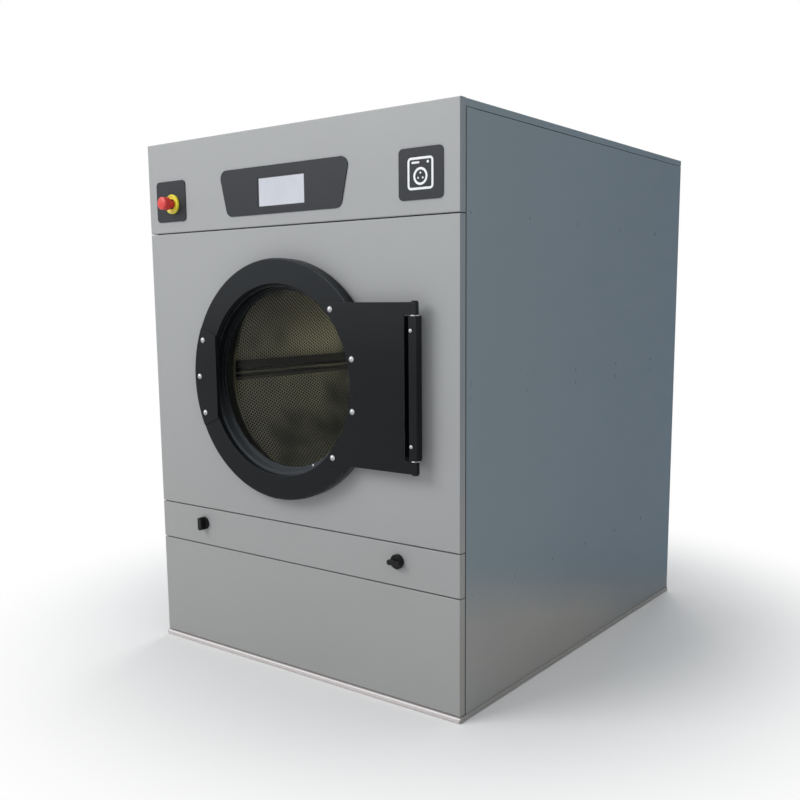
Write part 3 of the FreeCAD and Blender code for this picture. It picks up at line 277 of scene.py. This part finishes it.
def painted(name, color, roughness, peel=0.06, edge=1.25, cloud=0.04, specular=0.5, low_tint=0.0, low_tint_color=front_low_tone,
            low_tint_start=0.0, low_tint_end=1.15, low_tint_fall=0.0, top_light=1.0, top_light_start=door_z,
            top_light_end=ring_high.z, rear=None, shaded_folds=False, mouth_shade_within=0.0, hinge_shadow=False, crest=0.0,
            seam=None):
    """Sprayed paint on sheet: a faint cloudiness, orange peel, and lighter edges, which are wear and, where
    edge is raised, painted highlights.
    It can take a tone towards the bottom (darker on the front, a painted floor reflection on the sides),
    change tone with height (lighter towards the top as a painted reflection, darker as painted shade), fade
    to a bluer tone at the rear as a painted sky reflection, or have painted shade within a radius of the
    door's axis. The functions above add what only some panels have: painted shade, shadows and highlights."""
    look = Finish(name)
    _, y, z = look.split()
    paint = clouded(look, color, cloud)
    # Tone changing with height: a painted reflection where it lightens towards the top, painted shade where
    # it darkens
    if top_light != 1.0:
        paint = look.mix(look.rise(z, top_light_start, top_light_end, smooth=True), paint,
                         clouded(look, shade(color, top_light), cloud))
    # Painted sky reflection: bluer towards the rear
    if rear:
        paint = look.mix(look.rise(y, front_y, side_high.y), paint, clouded(look, rear, cloud))
    # Painted shade on the folds at the cabinet's sides
    if shaded_folds:
        paint = painted_fold_shade(look, paint, cloud)
    # Towards the bottom the paint takes another tone: darker and warmer on the front, and a painted floor
    # reflection on the sides
    if low_tint:
        height = look.math("ADD", z, look.math("MULTIPLY", look.math("SUBTRACT", y, front_y), low_tint_fall))
        low_tint_cover = look.math("MULTIPLY", look.spread(height, low_tint, 0.0, low_tint_start, low_tint_end, smooth=True),
                          look.spread(look.noise(2.4, 4.0), 0.65, 1.0, 0.3, 0.7))
        paint = look.mix(low_tint_cover, paint, low_tint_color)
    # Painted shade: black within a radius of the door's axis, inside the mouth
    if mouth_shade_within:
        mouth_shade = look.fall(look.from_axis(), mouth_shade_within, mouth_shade_within + border_blur)
        paint = look.mix(mouth_shade, paint, mouth_shade_black)
    # Painted shadow below the hinge block
    if hinge_shadow:
        paint = painted_hinge_shadow(look, paint)
    # Painted highlight along the rail's crest
    if crest:
        paint = painted_rail_highlight(look, paint, crest)
    rounded, edges = look.soft_edges(0.0016)
    # Edges lighter: wear, and painted highlights where the edge factor is raised
    worn_and_lit_edges = look.math("MULTIPLY", edges, look.spread(look.noise(55.0, 3.0), 0.25, 0.9, 0.35, 0.65))
    coat = look.mix(worn_and_lit_edges, paint, shade(color, edge))
    # Painted shadow in the seam at the front edge
    if seam is not None:
        coat = painted_seam_shadow(look, coat, seam)
    rubbed = look.spread(look.noise(7.0, 5.0, (1, 1, 3)), roughness - 0.05, roughness + 0.06)
    return look.surface({"Base Color": coat, "Roughness": rubbed, "Specular IOR Level": specular,
                         "Normal": look.bump(look.noise(520.0, 1.0), peel, 0.0006, rounded)}).material


def moulded(name, color, roughness, specular=0.5):
    """Moulded plastic with a fine spark-eroded grain, and painted highlights on its edges."""
    look = Finish(name)
    rounded, edges = look.soft_edges(0.001)
    tint = varied(look, look.noise(24.0, 3.0), color, 0.93, 1.07)
    polish = look.spread(look.noise(90.0, 3.0), roughness - 0.05, roughness + 0.07)
    return look.surface({"Base Color": look.mix(edges, tint, shade(color, 1.5)), "Roughness": polish,
                         "Specular IOR Level": specular,
                         "Normal": look.bump(look.noise(700.0, 2.0), 0.08, 0.0004, rounded)}).material


def brushed(name, color, roughness, stretch=(1, 1, 60), marks=0.12, edge=1.2, crest=0.0):
    """Bright metal with fine brush marks across one axis. A painted highlight can run along a lifter's crest,
    which is the given distance from the drum's axis."""
    look = Finish(name)
    rounded, edges = look.soft_edges(0.0012)
    lines = look.noise(34.0, 4.0, stretch)
    tone = varied(look, lines, color, 0.88, 1.08)
    # Painted highlight along the lifter's crest
    if crest:
        margin = 0.00002
        tone = look.mix(look.fall(look.from_axis(), crest - margin, crest + margin), tone, lifter_highlight_color)
    return look.surface({"Base Color": look.mix(edges, tone, shade(color, edge)), "Metallic": 1.0,
                         "Roughness": look.spread(lines, roughness - 0.06, roughness + 0.1),
                         "Normal": look.bump(lines, marks, 0.0003, rounded)}).material


def galvanised(name, color, metallic=0.85):
    """Zinc-coated sheet: patches of crystal that differ a little in tone and gloss."""
    look = Finish(name)
    cells = look.add("ShaderNodeTexVoronoi", {"Vector": look.place, "Scale": 75.0})
    grey = look.add("ShaderNodeRGBToBW", {0: cells.outputs["Color"]}).outputs[0]
    rounded, edges = look.soft_edges(0.0012)
    tone = varied(look, grey, color, 0.82, 1.12)
    return look.surface({"Base Color": look.mix(edges, tone, shade(color, 1.2)), "Metallic": metallic,
                         "Roughness": look.spread(grey, 0.36, 0.56),
                         "Normal": look.bump(look.noise(60.0, 3.0), 0.06, 0.0005, rounded)}).material


def cast(name, color, metallic=0.3):
    """A painted casting with a sandy skin."""
    look = Finish(name)
    rounded, edges = look.soft_edges(0.0015)
    tone = varied(look, look.noise(18.0, 4.0), color, 0.8, 1.15)
    return look.surface({"Base Color": look.mix(edges, tone, shade(color, 1.6)), "Metallic": metallic,
                         "Roughness": look.spread(look.noise(40.0, 3.0), 0.45, 0.7),
                         "Normal": look.bump(look.noise(240.0, 4.0), 0.3, 0.0008, rounded)}).material


def rubber(name, color):
    """Matt rubber with a dusty bloom."""
    look = Finish(name)
    bloom = look.spread(look.noise(14.0, 5.0), 0.0, 0.5, 0.5, 0.8)
    return look.surface({"Base Color": varied(look, bloom, color, 1.0, 2.6),
                         "Roughness": look.spread(look.noise(60.0, 3.0), 0.62, 0.85),
                         "Specular IOR Level": 0.3,
                         "Normal": look.bump(look.noise(380.0, 3.0), 0.18, 0.0005)}).material


def felt(name, color):
    """Pressed wool: short tangled fibres."""
    look = Finish(name)
    fibres = look.noise(300.0, 6.0, (1, 3, 1))
    return look.surface({"Base Color": varied(look, fibres, color, 0.7, 1.25), "Roughness": 0.95,
                         "Sheen Weight": 0.5, "Specular IOR Level": 0.1,
                         "Normal": look.bump(fibres, 0.7, 0.0012)}).material


def dots(look, across, along, pitch, radius):
    """1 inside the holes of a staggered pattern, 0 on the metal between them."""
    cell = (pitch, pitch * math.sqrt(3), 1.0)
    blur = 0.15
    grid = look.vector("DIVIDE", look.flat(across, along), cell)
    distances = []
    for shift in (0.0, 0.5):
        cells = look.vector("ADD", grid, (shift, shift, 0.0))
        offset = look.vector("SUBTRACT", look.vector("FRACTION", cells), (0.5, 0.5, 0.0))
        distances.append(look.vector("LENGTH", look.vector("MULTIPLY", offset, cell)))
    nearest = look.math("MINIMUM", *distances)
    return look.fall(nearest, radius * (1 - blur), radius * (1 + blur), smooth=True)


def perforated(name, color, rolled):
    """Stainless sheet with rows of drilled holes, rolled about the drum's axis or flat. Random dark and
    bright patches in it are painted reflections."""
    look = Finish(name)
    x, y, z = look.split()
    across = look.math("SUBTRACT", x, door_x)
    up = look.math("SUBTRACT", z, door_z)
    holes_around = 240
    pitch = 2 * math.pi * drum_radius / holes_around
    hole_radius = pitch * 0.32
    if rolled:
        turn = look.math("ARCTAN2", up, across)
        holes = dots(look, look.math("MULTIPLY", turn, drum_radius), y, pitch, hole_radius)
        marks = look.noise(30.0, 4.0, (1, 40, 1))
    else:
        holes = dots(look, across, up, pitch, hole_radius)
        marks = look.noise(30.0, 4.0, (1, 1, 40))
    # Painted reflections: random patches of dark and bright steel
    dull = varied(look, marks, color, 0.26, 0.34)
    bright_reflection = varied(look, marks, color, 1.15, 1.42)
    steel = look.mix(look.rise(look.noise(3.2, 2.0), 0.33, 0.57, smooth=True), dull, bright_reflection)
    return look.surface({"Base Color": look.mix(holes, steel, hole_black),
                         "Metallic": look.fall(holes, 0.0, 1.0),
                         "Roughness": look.spread(marks, 0.285, 0.345),
                         "Normal": look.bump(holes, 0.35, -0.0012)}).material


def glass(name, color):
    """Toughened glass with a trace of smears that dull its shine. It mirrors less than real glass does."""
    look = Finish(name)
    smears = look.spread(look.noise(9.0, 6.0, (1, 1, 2)), 0.0, 0.03, 0.5, 0.8)
    return look.surface({"Base Color": shade(color, 1.0), "Roughness": smears, "IOR": 1.15,
                         "Transmission Weight": 1.0}).material


def lit_screen(name):
    """A touch panel: a pale lit field inside a thin dark border."""
    look = Finish(name)
    low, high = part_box("touch_screen")
    border = 0.004
    blur = 0.0006
    x, _, z = look.split()
    field = look.math("MULTIPLY", look.between(x, low.x + border, high.x - border, blur),
                      look.between(z, low.z + border, high.z - border, blur))
    picture = look.mix(field, screen_border, look.mix(look.noise(11.0, 3.0), screen_dim, screen_pale))
    return look.surface({"Base Color": picture, "Roughness": 0.12, "Emission Color": picture,
                         "Emission Strength": 0.1}).material


# The palette

grey_coat = (0.346, 0.354, 0.359)
drum_color = (0.70, 0.69, 0.62)
seam_width = 0.0026
grey_paint = painted("grey_paint", grey_coat, 0.46, low_tint=0.5, shaded_folds=True)
# Door panel paint: painted shade inside the mouth and a painted shadow below the hinge
mouth_paint = painted("mouth_paint", grey_coat, 0.46, low_tint=0.5, shaded_folds=True, mouth_shade_within=0.2985,
                      hinge_shadow=True)
# The drawer's raised edge factor is partly wear, partly a painted highlight along its top edge
drawer_paint = painted("drawer_paint", grey_coat, 0.46, edge=2.3, low_tint=0.5, shaded_folds=True)
# Rail paint: painted shade on its sides and a painted highlight along its front crest
rail_paint = painted("rail_paint", (0.62, 0.57, 0.562), 0.5, edge=1.6, cloud=0.1, shaded_folds=True, crest=rail_top)
# Side paint: painted shade and sky reflection in its tone, a painted floor reflection low down, painted
# highlights on its edges and a painted seam shadow at the front
side_paint = painted("side_paint", side_shade_and_sky_color, 0.44, edge=1.8, specular=0.14, low_tint=0.9, low_tint_color=side_floor_reflection,
                     low_tint_start=0.26, low_tint_end=0.48, low_tint_fall=0.24, rear=rear_sky_reflection_color,
                     seam=side_low.y + seam_width)
# Black paint: a painted sky reflection lightens it towards the top, and its raised edge factor paints
# highlights on the edges
black_paint = painted("black_paint", (0.0068, 0.0078, 0.0088), 0.38, peel=0.1, edge=14.0, cloud=0.1,
                      specular=0.12, top_light=2.6)
# Pan paint: painted shade darkens it towards the top, and its raised edge factor paints highlights on the
# steps
pan_paint = painted("pan_paint", (0.052, 0.059, 0.065), 0.40, peel=0.1, edge=3.5, cloud=0.1, specular=0.15,
                    top_light=0.10, top_light_start=door_z - 0.27, top_light_end=door_z + 0.02)
bezel_film = moulded("bezel_film", (0.024, 0.027, 0.033), 0.42, specular=0.22)
screen_lit = lit_screen("screen_lit")
yellow_plastic = moulded("yellow_plastic", (0.88, 0.77, 0.05), 0.32)
red_plastic = moulded("red_plastic", (0.70, 0.050, 0.045), 0.30)
black_plastic = moulded("black_plastic", (0.005, 0.005, 0.0055), 0.42, specular=0.22)
white_plastic = moulded("white_plastic", (0.80, 0.80, 0.78), 0.45)
white_print = moulded("white_print", (0.86, 0.87, 0.88), 0.5)
clear_glass = glass("clear_glass", (0.94, 0.95, 0.85))
black_rubber = rubber("black_rubber", (0.014, 0.014, 0.015))
wool_felt = felt("wool_felt", (0.30, 0.28, 0.25))
stainless = brushed("stainless", (0.60, 0.59, 0.57), 0.26)
bright_steel = brushed("bright_steel", (0.40, 0.41, 0.42), 0.34)
# Painted shade: the lifters' stainless steel is near black, with a painted highlight along its crest
shaded_lifter_steel = brushed("shaded_lifter_steel", (0.020, 0.0195, 0.0185), 0.34, stretch=(6, 0.3, 6), marks=0.04,
                       edge=1.0, crest=lifter_crest)
drum_steel = perforated("drum_steel", drum_color, rolled=True)
back_steel = perforated("back_steel", drum_color, rolled=False)
zinc = galvanised("zinc", (0.50, 0.52, 0.53))
dark_zinc = galvanised("dark_zinc", (0.07, 0.073, 0.077), 0.2)
cast_iron = cast("cast_iron", (0.10, 0.11, 0.12))
motor_paint = cast("motor_paint", (0.16, 0.19, 0.22), 0.1)

slot_finish = {
    "grey_paint": grey_paint, "rail_paint": rail_paint, "side_paint": side_paint, "black_paint": black_paint,
    "bezel_plastic": bezel_film, "screen_glass": screen_lit, "yellow_plastic": yellow_plastic,
    "red_plastic": red_plastic, "black_plastic": black_plastic, "white_plastic": white_plastic,
    "clear_glass": clear_glass, "black_rubber": black_rubber, "felt": wool_felt, "stainless": stainless,
    "bright_steel": bright_steel, "galvanised": zinc, "cast_steel": cast_iron, "cast_metal": cast_iron,
    "motor_aluminium": motor_paint,
}
node_finish = {"drum_shell": drum_steel, "drum_rear": back_steel, "drum_lifters": shaded_lifter_steel,
               "inner_frame": dark_zinc, "door_panel": mouth_paint, "door_pan": pan_paint,
               "drawer_front": drawer_paint}

smooth_angle = math.radians(32)


def dress(obj, material):
    obj.data.materials.clear()
    obj.data.materials.append(material)


def smooth(obj):
    obj.data.polygons.foreach_set("use_smooth", [True] * len(obj.data.polygons))
    obj.data.set_sharp_from_angle(angle=smooth_angle)


for part in frame["record"]["subparts"]:
    carried = nodes[part["node"]]
    dress(carried, node_finish.get(part["node"], slot_finish[part["material_slot"]]))
    smooth(carried)
nodes["door_glass"].visible_shadow = False


# Making pieces

# Corners closer than this are one corner
same_place = 1e-6


def piece(name, mesh, material, body):
    """A new object of the given mesh that rides on a body."""
    obj = bpy.data.objects.new(name, mesh)
    scene.collection.objects.link(obj)
    dress(obj, material)
    smooth(obj)
    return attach(obj, body)


def finished(name, shape):
    """The mesh of a shape, with its faces turned outwards."""
    bmesh.ops.recalc_face_normals(shape, faces=shape.faces)
    mesh = bpy.data.meshes.new(name)
    shape.to_mesh(mesh)
    shape.free()
    return mesh


def bridge(shape, loops):
    """Faces between each loop of corners and the next."""
    for loop, following in zip(loops, loops[1:]):
        for k in range(len(loop)):
            after = (k + 1) % len(loop)
            shape.faces.new((loop[k], loop[after], following[after], following[k]))


def turned(name, profile, x, z, steps):
    """A mesh turned about an axis along Y from a closed profile of (radius, y)."""
    shape = bmesh.new()
    corners = [shape.verts.new((x + radius, y, z)) for radius, y in profile]
    pairs = zip(corners, corners[1:] + corners[:1])
    edges = [shape.edges.new((first, second)) for first, second in pairs if max(first.co.x, second.co.x) > x]
    bmesh.ops.spin(shape, geom=corners + edges, cent=(x, 0, z), axis=(0, 1, 0), dvec=(0, 0, 0),
                   angle=2 * math.pi, steps=steps, use_merge=True)
    bmesh.ops.remove_doubles(shape, verts=shape.verts, dist=same_place)
    return finished(name, shape)


def arc(radius, centre, start, end, count):
    """Points (radius, y) on an arc, with angles in degrees."""
    angles = [math.radians(start + (end - start) * k / count) for k in range(count + 1)]
    return [(centre[0] + radius * math.cos(angle), centre[1] + radius * math.sin(angle)) for angle in angles]


def domes(name, places, head, material, body):
    """Rivets or screws at (point, direction) pairs, with heads of the given radius and height."""
    radius, height = head
    rings = 5
    sides = 20
    around = [2 * math.pi * k / sides for k in range(sides)]
    shape = bmesh.new()
    for point, way in places:
        turn = Vector(way).to_track_quat("Z", "Y").to_matrix()
        levels = []
        for ring in range(rings):
            tilt = ring / rings * math.pi / 2
            reach = radius * math.cos(tilt)
            rise = height * math.sin(tilt)
            rim = [Vector((reach * math.cos(angle), reach * math.sin(angle), rise)) for angle in around]
            levels.append([shape.verts.new(Vector(point) + turn @ corner) for corner in rim])
        shape.faces.new(levels[0][::-1])
        bridge(shape, levels)
        top = shape.verts.new(Vector(point) + turn @ Vector((0, 0, height)))
        for k in range(sides):
            shape.faces.new((levels[-1][k], levels[-1][(k + 1) % sides], top))
    return piece(name, finished(name, shape), material, body)


# Fasteners that the CAD leaves out, with (radius, height) of their heads

rivet_head = (0.0055, 0.0022)
rear_head = (0.006, 0.0025)
hinge_head = (0.0056, 0.003)
small_head = (0.0045, 0.002)
forward = (0, -1, 0)
backward = (0, 1, 0)


def side_rivets():
    """Rows of rivets: the height of each row and the depths of its rivets behind the front."""
    middle_depths = (0.053, 0.351, 0.653, 0.945, 1.240)
    rows = ((1.365, (0.050, 0.355, 0.650, 0.955, 1.250)), (0.924, middle_depths), (0.882, middle_depths),
            (0.345, (0.065, 0.293, 0.520, 0.745, 0.970, 1.195)))
    places = []
    for side in (-1, 1):
        for height, depths in rows:
            for depth in depths:
                places.append(((side * side_high.x, front_y + depth, height), (side, 0, 0)))
    domes("side_rivets", places, rivet_head, side_paint, "cabinet")


def rear_screws():
    inset = 0.022
    columns = 5
    rows = 6
    places = []
    for k in range(rows + 1):
        z = rear_low.z + inset + (rear_high.z - rear_low.z - 2 * inset) * k / rows
        for x in (rear_low.x + inset, rear_high.x - inset):
            places.append(((x, side_high.y, z), backward))
    for k in range(1, columns):
        x = rear_low.x + inset + (rear_high.x - rear_low.x - 2 * inset) * k / columns
        for z in (rear_low.z + inset, rear_high.z - inset):
            places.append(((x, side_high.y, z), backward))
    domes("rear_screws", places, rear_head, bright_steel, "cabinet")


def hinge_screws():
    side_inset = 0.019
    end_inset = 0.038
    x = hinge_high.x - side_inset
    places = [((x, hinge_low.y, z), forward) for z in (hinge_low.z + end_inset, hinge_high.z - end_inset)]
    domes("hinge_screws", places, hinge_head, bright_steel, "cabinet")


def well_screw():
    """A small screw on the ring that holds the glass."""
    reach = 0.268
    turn = math.radians(-68)
    proud = 0.001
    place = (door_x + reach * math.cos(turn), front_y - proud, door_z + reach * math.sin(turn))
    domes("well_screw", [(place, forward)], small_head, bright_steel, "door")


def terminal_screws():
    low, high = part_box("terminal_box")
    inset = 0.012
    places = [((x, high.y, z), backward) for x in (low.x + inset, high.x - inset)
              for z in (low.z + inset, high.z - inset)]
    domes("terminal_screws", places, small_head, bright_steel, "cabinet")


side_rivets()
rear_screws()
hinge_screws()
well_screw()
terminal_screws()


# Pieces that stand for plain solids

def gasket():
    """The door's seal: a foot, a neck and a soft bulb that meets the panel."""
    low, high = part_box("door_gasket")
    bulb = 0.007
    middle = (high.x - low.x) / 2 - bulb
    foot = low.y + 0.006
    shoulder = foot + 0.002
    neck = 0.0042
    profile = [(middle - bulb, low.y), (middle + bulb, low.y), (middle + bulb, foot),
               (middle + neck, shoulder)]
    profile += arc(bulb, (middle, high.y - bulb), -50, 230, 18)
    profile += [(middle - neck, shoulder), (middle - bulb, foot)]
    mesh = turned("gasket", profile, door_x, door_z, steps=220)
    seal = piece("gasket", mesh, black_rubber, "door")
    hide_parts("door_gasket")


def felt_ring():
    """The felt between drum and mouth, with rounded and slightly uneven edges."""
    low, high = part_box("drum_seal")
    outer = (high.x - low.x) / 2
    width = 0.020
    edge = 0.004
    waves = 45
    wave_height = 0.0004
    inner = outer - width
    profile = []
    for start, radius, y in ((-180, inner + edge, low.y + edge), (-90, outer - edge, low.y + edge),
                             (0, outer - edge, high.y - edge), (90, inner + edge, high.y - edge)):
        profile += arc(edge, (radius, y), start, start + 90, 4)
    mesh = turned("felt_ring", profile, door_x, door_z, steps=240)
    for vertex in mesh.vertices:
        vertex.co += lattice.noise_vector(vertex.co * waves) * wave_height
    ring = piece("felt_ring", mesh, wool_felt, "cabinet")
    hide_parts("drum_seal")


def ribbed_belt():
    """The drive belt: a smooth back, and ribs along the side that grips the pulleys."""
    low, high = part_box("drive_belt")
    motor_low, motor_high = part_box("motor_pulley")
    motor = Vector(((motor_low.x + motor_high.x) / 2, (motor_low.z + motor_high.z) / 2))
    drum = Vector((door_x, door_z))
    large = drum.x - low.x
    small = high.x - motor.x
    way = motor - drum
    heading = math.atan2(way.y, way.x)
    spread = math.acos((large - small) / way.length)
    count = 60
    path = []
    for centre, radius, start, end in ((drum, large, heading + spread, heading + 2 * math.pi - spread),
                                       (motor, small, heading - spread, heading + spread)):
        path += [(centre, radius, start + (end - start) * k / count) for k in range(count + 1)]

    # Across the belt, with the corners of a rib as shares of its width
    ribs = 6
    rib_start = 0.15
    rib_end = 0.6
    groove = 0.8
    depth = 0.0088
    rib_height = 0.003
    width = high.y - low.y
    section = [(low.y, 0.0), (high.y, 0.0)]
    for k in range(ribs):
        for share, inward in ((rib_start, depth), (rib_end, depth), (groove, depth - rib_height)):
            section.append((high.y - width * (k + share) / ribs, inward))

    shape = bmesh.new()
    rings = []
    for centre, radius, turn in path:
        rings.append([shape.verts.new((centre.x + (radius - inward) * math.cos(turn), y,
                                       centre.y + (radius - inward) * math.sin(turn)))
                      for y, inward in section])
    bridge(shape, rings + rings[:1])
    belt = piece("ribbed_belt", finished("ribbed_belt", shape), black_rubber, "cabinet")
    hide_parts("drive_belt")


def stop_cap():
    """The emergency stop's head: a short neck, a straight grip with rounded rims and a low crown."""
    low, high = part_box("stop_head")
    x = (low.x + high.x) / 2
    z = (low.z + high.z) / 2
    radius = (high.x - low.x) / 2
    neck = 0.015
    rim = 0.003
    corner = 0.0045
    crown_height = 0.0015
    crown_steps = 8
    grip_depth = 0.029
    tip = low.y
    brim = tip + grip_depth
    profile = [(0.0, high.y), (neck, high.y), (neck, brim)]
    profile += arc(rim, (radius - rim, brim - rim), 80, 0, 6)
    profile += arc(corner, (radius - corner, tip + crown_height + corner), 0, -72, 8)
    edge, rise = profile[-1]
    for k in range(1, crown_steps + 1):
        share = 1 - k / crown_steps
        profile.append((edge * share, tip + (rise - tip) * share ** 2))
    mesh = turned("stop_cap", profile, x, z, steps=72)
    head = piece("stop_cap", mesh, red_plastic, "stop_button")
    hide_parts("stop_head")


# A plain mark on the capacity plate: a picture of a dryer's front

def rounded_loop(x, z, half_width, half_height, corner, steps=8):
    """Points (x, z) of a rectangle with rounded corners."""
    points = []
    for quarter, (across, up) in enumerate(((1, 1), (-1, 1), (-1, -1), (1, -1))):
        for k in range(steps + 1):
            turn = math.pi / 2 * (quarter + k / steps)
            points.append((x + across * (half_width - corner) + corner * math.cos(turn),
                           z + up * (half_height - corner) + corner * math.sin(turn)))
    return points


def plate_mark():
    low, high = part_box("capacity_plate")
    x = (low.x + high.x) / 2
    z = (low.z + high.z) / 2
    ink = 0.0003
    pinhole = 0.0002
    shape = bmesh.new()

    def band(outer, inner):
        loops = []
        for points, y in ((outer, low.y - ink), (inner, low.y - ink), (inner, low.y), (outer, low.y)):
            loops.append([shape.verts.new((across, y, up)) for across, up in points])
        bridge(shape, loops + loops[:1])

    def disc(middle_x, middle_z, radius, hole=pinhole):
        band(rounded_loop(middle_x, middle_z, radius, radius, radius),
             rounded_loop(middle_x, middle_z, hole, hole, hole))

    # The cabinet's outline
    half = 0.041
    corner = 0.011
    stroke = 0.0062
    inner_half = half - stroke
    band(rounded_loop(x, z, half, half, corner), rounded_loop(x, z, inner_half, inner_half, corner - stroke))

    # The drum and three dots in it
    drum_z = z - 0.007
    ring_radius = 0.0225
    disc(x, drum_z, ring_radius, ring_radius - stroke)
    dot_count = 3
    dot_reach = 0.0085
    dot_radius = 0.0026
    for k in range(dot_count):
        turn = math.radians(90 + 360 / dot_count * k)
        disc(x + dot_reach * math.cos(turn), drum_z + dot_reach * math.sin(turn), dot_radius)

    # A bar for the display and a knob beside it
    panel_z = z + half - stroke - 0.0072
    bar_x = x - 0.0155
    bar_half_length = 0.0125
    bar_half_height = 0.0027
    bar_corner = 0.0026
    core_half_length = 0.0098
    core_half_height = 0.0001
    band(rounded_loop(bar_x, panel_z, bar_half_length, bar_half_height, bar_corner),
         rounded_loop(bar_x, panel_z, core_half_length, core_half_height, core_half_height))
    knob_x = x + 0.0235
    knob_radius = 0.0036
    disc(knob_x, panel_z, knob_radius)

    bmesh.ops.remove_doubles(shape, verts=shape.verts, dist=same_place)
    bmesh.ops.dissolve_degenerate(shape, edges=shape.edges, dist=same_place)
    piece("plate_mark", finished("plate_mark", shape), white_print, "cabinet")


gasket()
felt_ring()
ribbed_belt()
stop_cap()
plate_mark()


# Stage, light and camera

def floor():
    """A pale floor that turns into plain white away from the part."""
    half = 9.0
    white_start = 0.85
    white_end = 1.8
    corners = [(-half, -half, 0), (half, -half, 0), (half, half, 0), (-half, half, 0)]
    mesh = bpy.data.meshes.new("floor")
    mesh.from_pydata(corners, [], [(0, 1, 2, 3)])
    obj = bpy.data.objects.new("floor", mesh)
    scene.collection.objects.link(obj)
    look = Finish("floor")
    x, y, _ = look.split()
    far = look.rise(look.vector("LENGTH", look.flat(x, y)), white_start, white_end, smooth=True)
    look.surface({"Base Color": floor_grey, "Roughness": 0.9, "Specular IOR Level": 0.1})
    white = look.add("ShaderNodeEmission", {"Color": pure_white, "Strength": 1.0}).outputs[0]
    rays = look.add("ShaderNodeLightPath").outputs
    seen = look.math("MAXIMUM", look.math("MAXIMUM", rays["Is Camera Ray"], rays["Is Glossy Ray"]),
                     rays["Is Transmission Ray"])
    share = look.math("MULTIPLY", far, seen)
    blended = look.add("ShaderNodeMixShader", {0: share, 1: look.shader.outputs[0], 2: white})
    look.tree.links.new(blended.outputs[0], look.tree.nodes["Material Output"].inputs["Surface"])
    dress(obj, look.material)


def world():
    """A dim sky that lights the part, seen as plain white by the camera, in metal and through glass."""
    sky_strength = 0.36
    surround = bpy.data.worlds.new("studio")
    scene.world = surround
    surround.use_nodes = True
    tree = surround.node_tree
    light = tree.nodes["Background"]
    light.inputs["Color"].default_value = sky_white
    light.inputs["Strength"].default_value = sky_strength
    white = tree.nodes.new("ShaderNodeBackground")
    white.inputs["Color"].default_value = pure_white
    rays = tree.nodes.new("ShaderNodeLightPath")
    seen = rays.outputs["Is Camera Ray"]
    for name in ("Is Glossy Ray", "Is Transmission Ray"):
        both = tree.nodes.new("ShaderNodeMath")
        both.operation = "MAXIMUM"
        tree.links.new(seen, both.inputs[0])
        tree.links.new(rays.outputs[name], both.inputs[1])
        seen = both.outputs[0]
    blended = tree.nodes.new("ShaderNodeMixShader")
    tree.links.new(seen, blended.inputs[0])
    tree.links.new(light.outputs[0], blended.inputs[1])
    tree.links.new(white.outputs[0], blended.inputs[2])
    tree.links.new(blended.outputs[0], tree.nodes["World Output"].inputs["Surface"])


def lamp(name, place, target, width, height, power, color=(1.0, 1.0, 1.0)):
    data = bpy.data.lights.new(name, "AREA")
    data.shape = "RECTANGLE"
    data.size = width
    data.size_y = height
    data.energy = power
    data.color = color
    obj = bpy.data.objects.new(name, data)
    obj.location = place
    obj.rotation_euler = (Vector(target) - Vector(place)).to_track_quat("-Z", "Y").to_euler()
    scene.collection.objects.link(obj)


def camera():
    ahead = Vector((-math.sin(camera_yaw) * math.cos(camera_pitch),
                    math.cos(camera_yaw) * math.cos(camera_pitch), -math.sin(camera_pitch)))
    level = Vector((math.cos(camera_yaw), math.sin(camera_yaw), 0))
    down = ahead.cross(level)
    right = level * math.cos(camera_roll) + down * math.sin(camera_roll)
    down = down * math.cos(camera_roll) - level * math.sin(camera_roll)
    data = bpy.data.cameras.new("camera")
    data.sensor_width = sensor_width
    data.lens = focal_pixels / picture_side * sensor_width
    data.shift_y = (axis_row - picture_side / 2) / picture_side
    obj = bpy.data.objects.new("camera", data)
    turn = Matrix((right, -down, -ahead)).transposed().to_4x4()
    obj.matrix_world = Matrix.Translation(camera_place) @ turn
    scene.collection.objects.link(obj)
    scene.camera = obj


floor()
world()
lamp("key", place=(-2.3, -4.6, 3.8), target=(0.0, -0.6, 0.9), width=3.6, height=2.8, power=162.0)
lamp("fill", place=(2.8, -3.2, 2.2), target=(0.6, -0.4, 0.9), width=2.0, height=2.0, power=21.0,
     color=(0.92, 0.96, 1.0))
lamp("top", place=(0.2, 0.0, 4.6), target=(0.0, 0.0, 1.0), width=3.2, height=3.2, power=52.0)
lamp("rear", place=(-1.6, 4.8, 3.4), target=(0.0, 0.6, 0.9), width=3.0, height=2.6, power=90.0)
camera()
scene.view_settings.view_transform = "Standard"
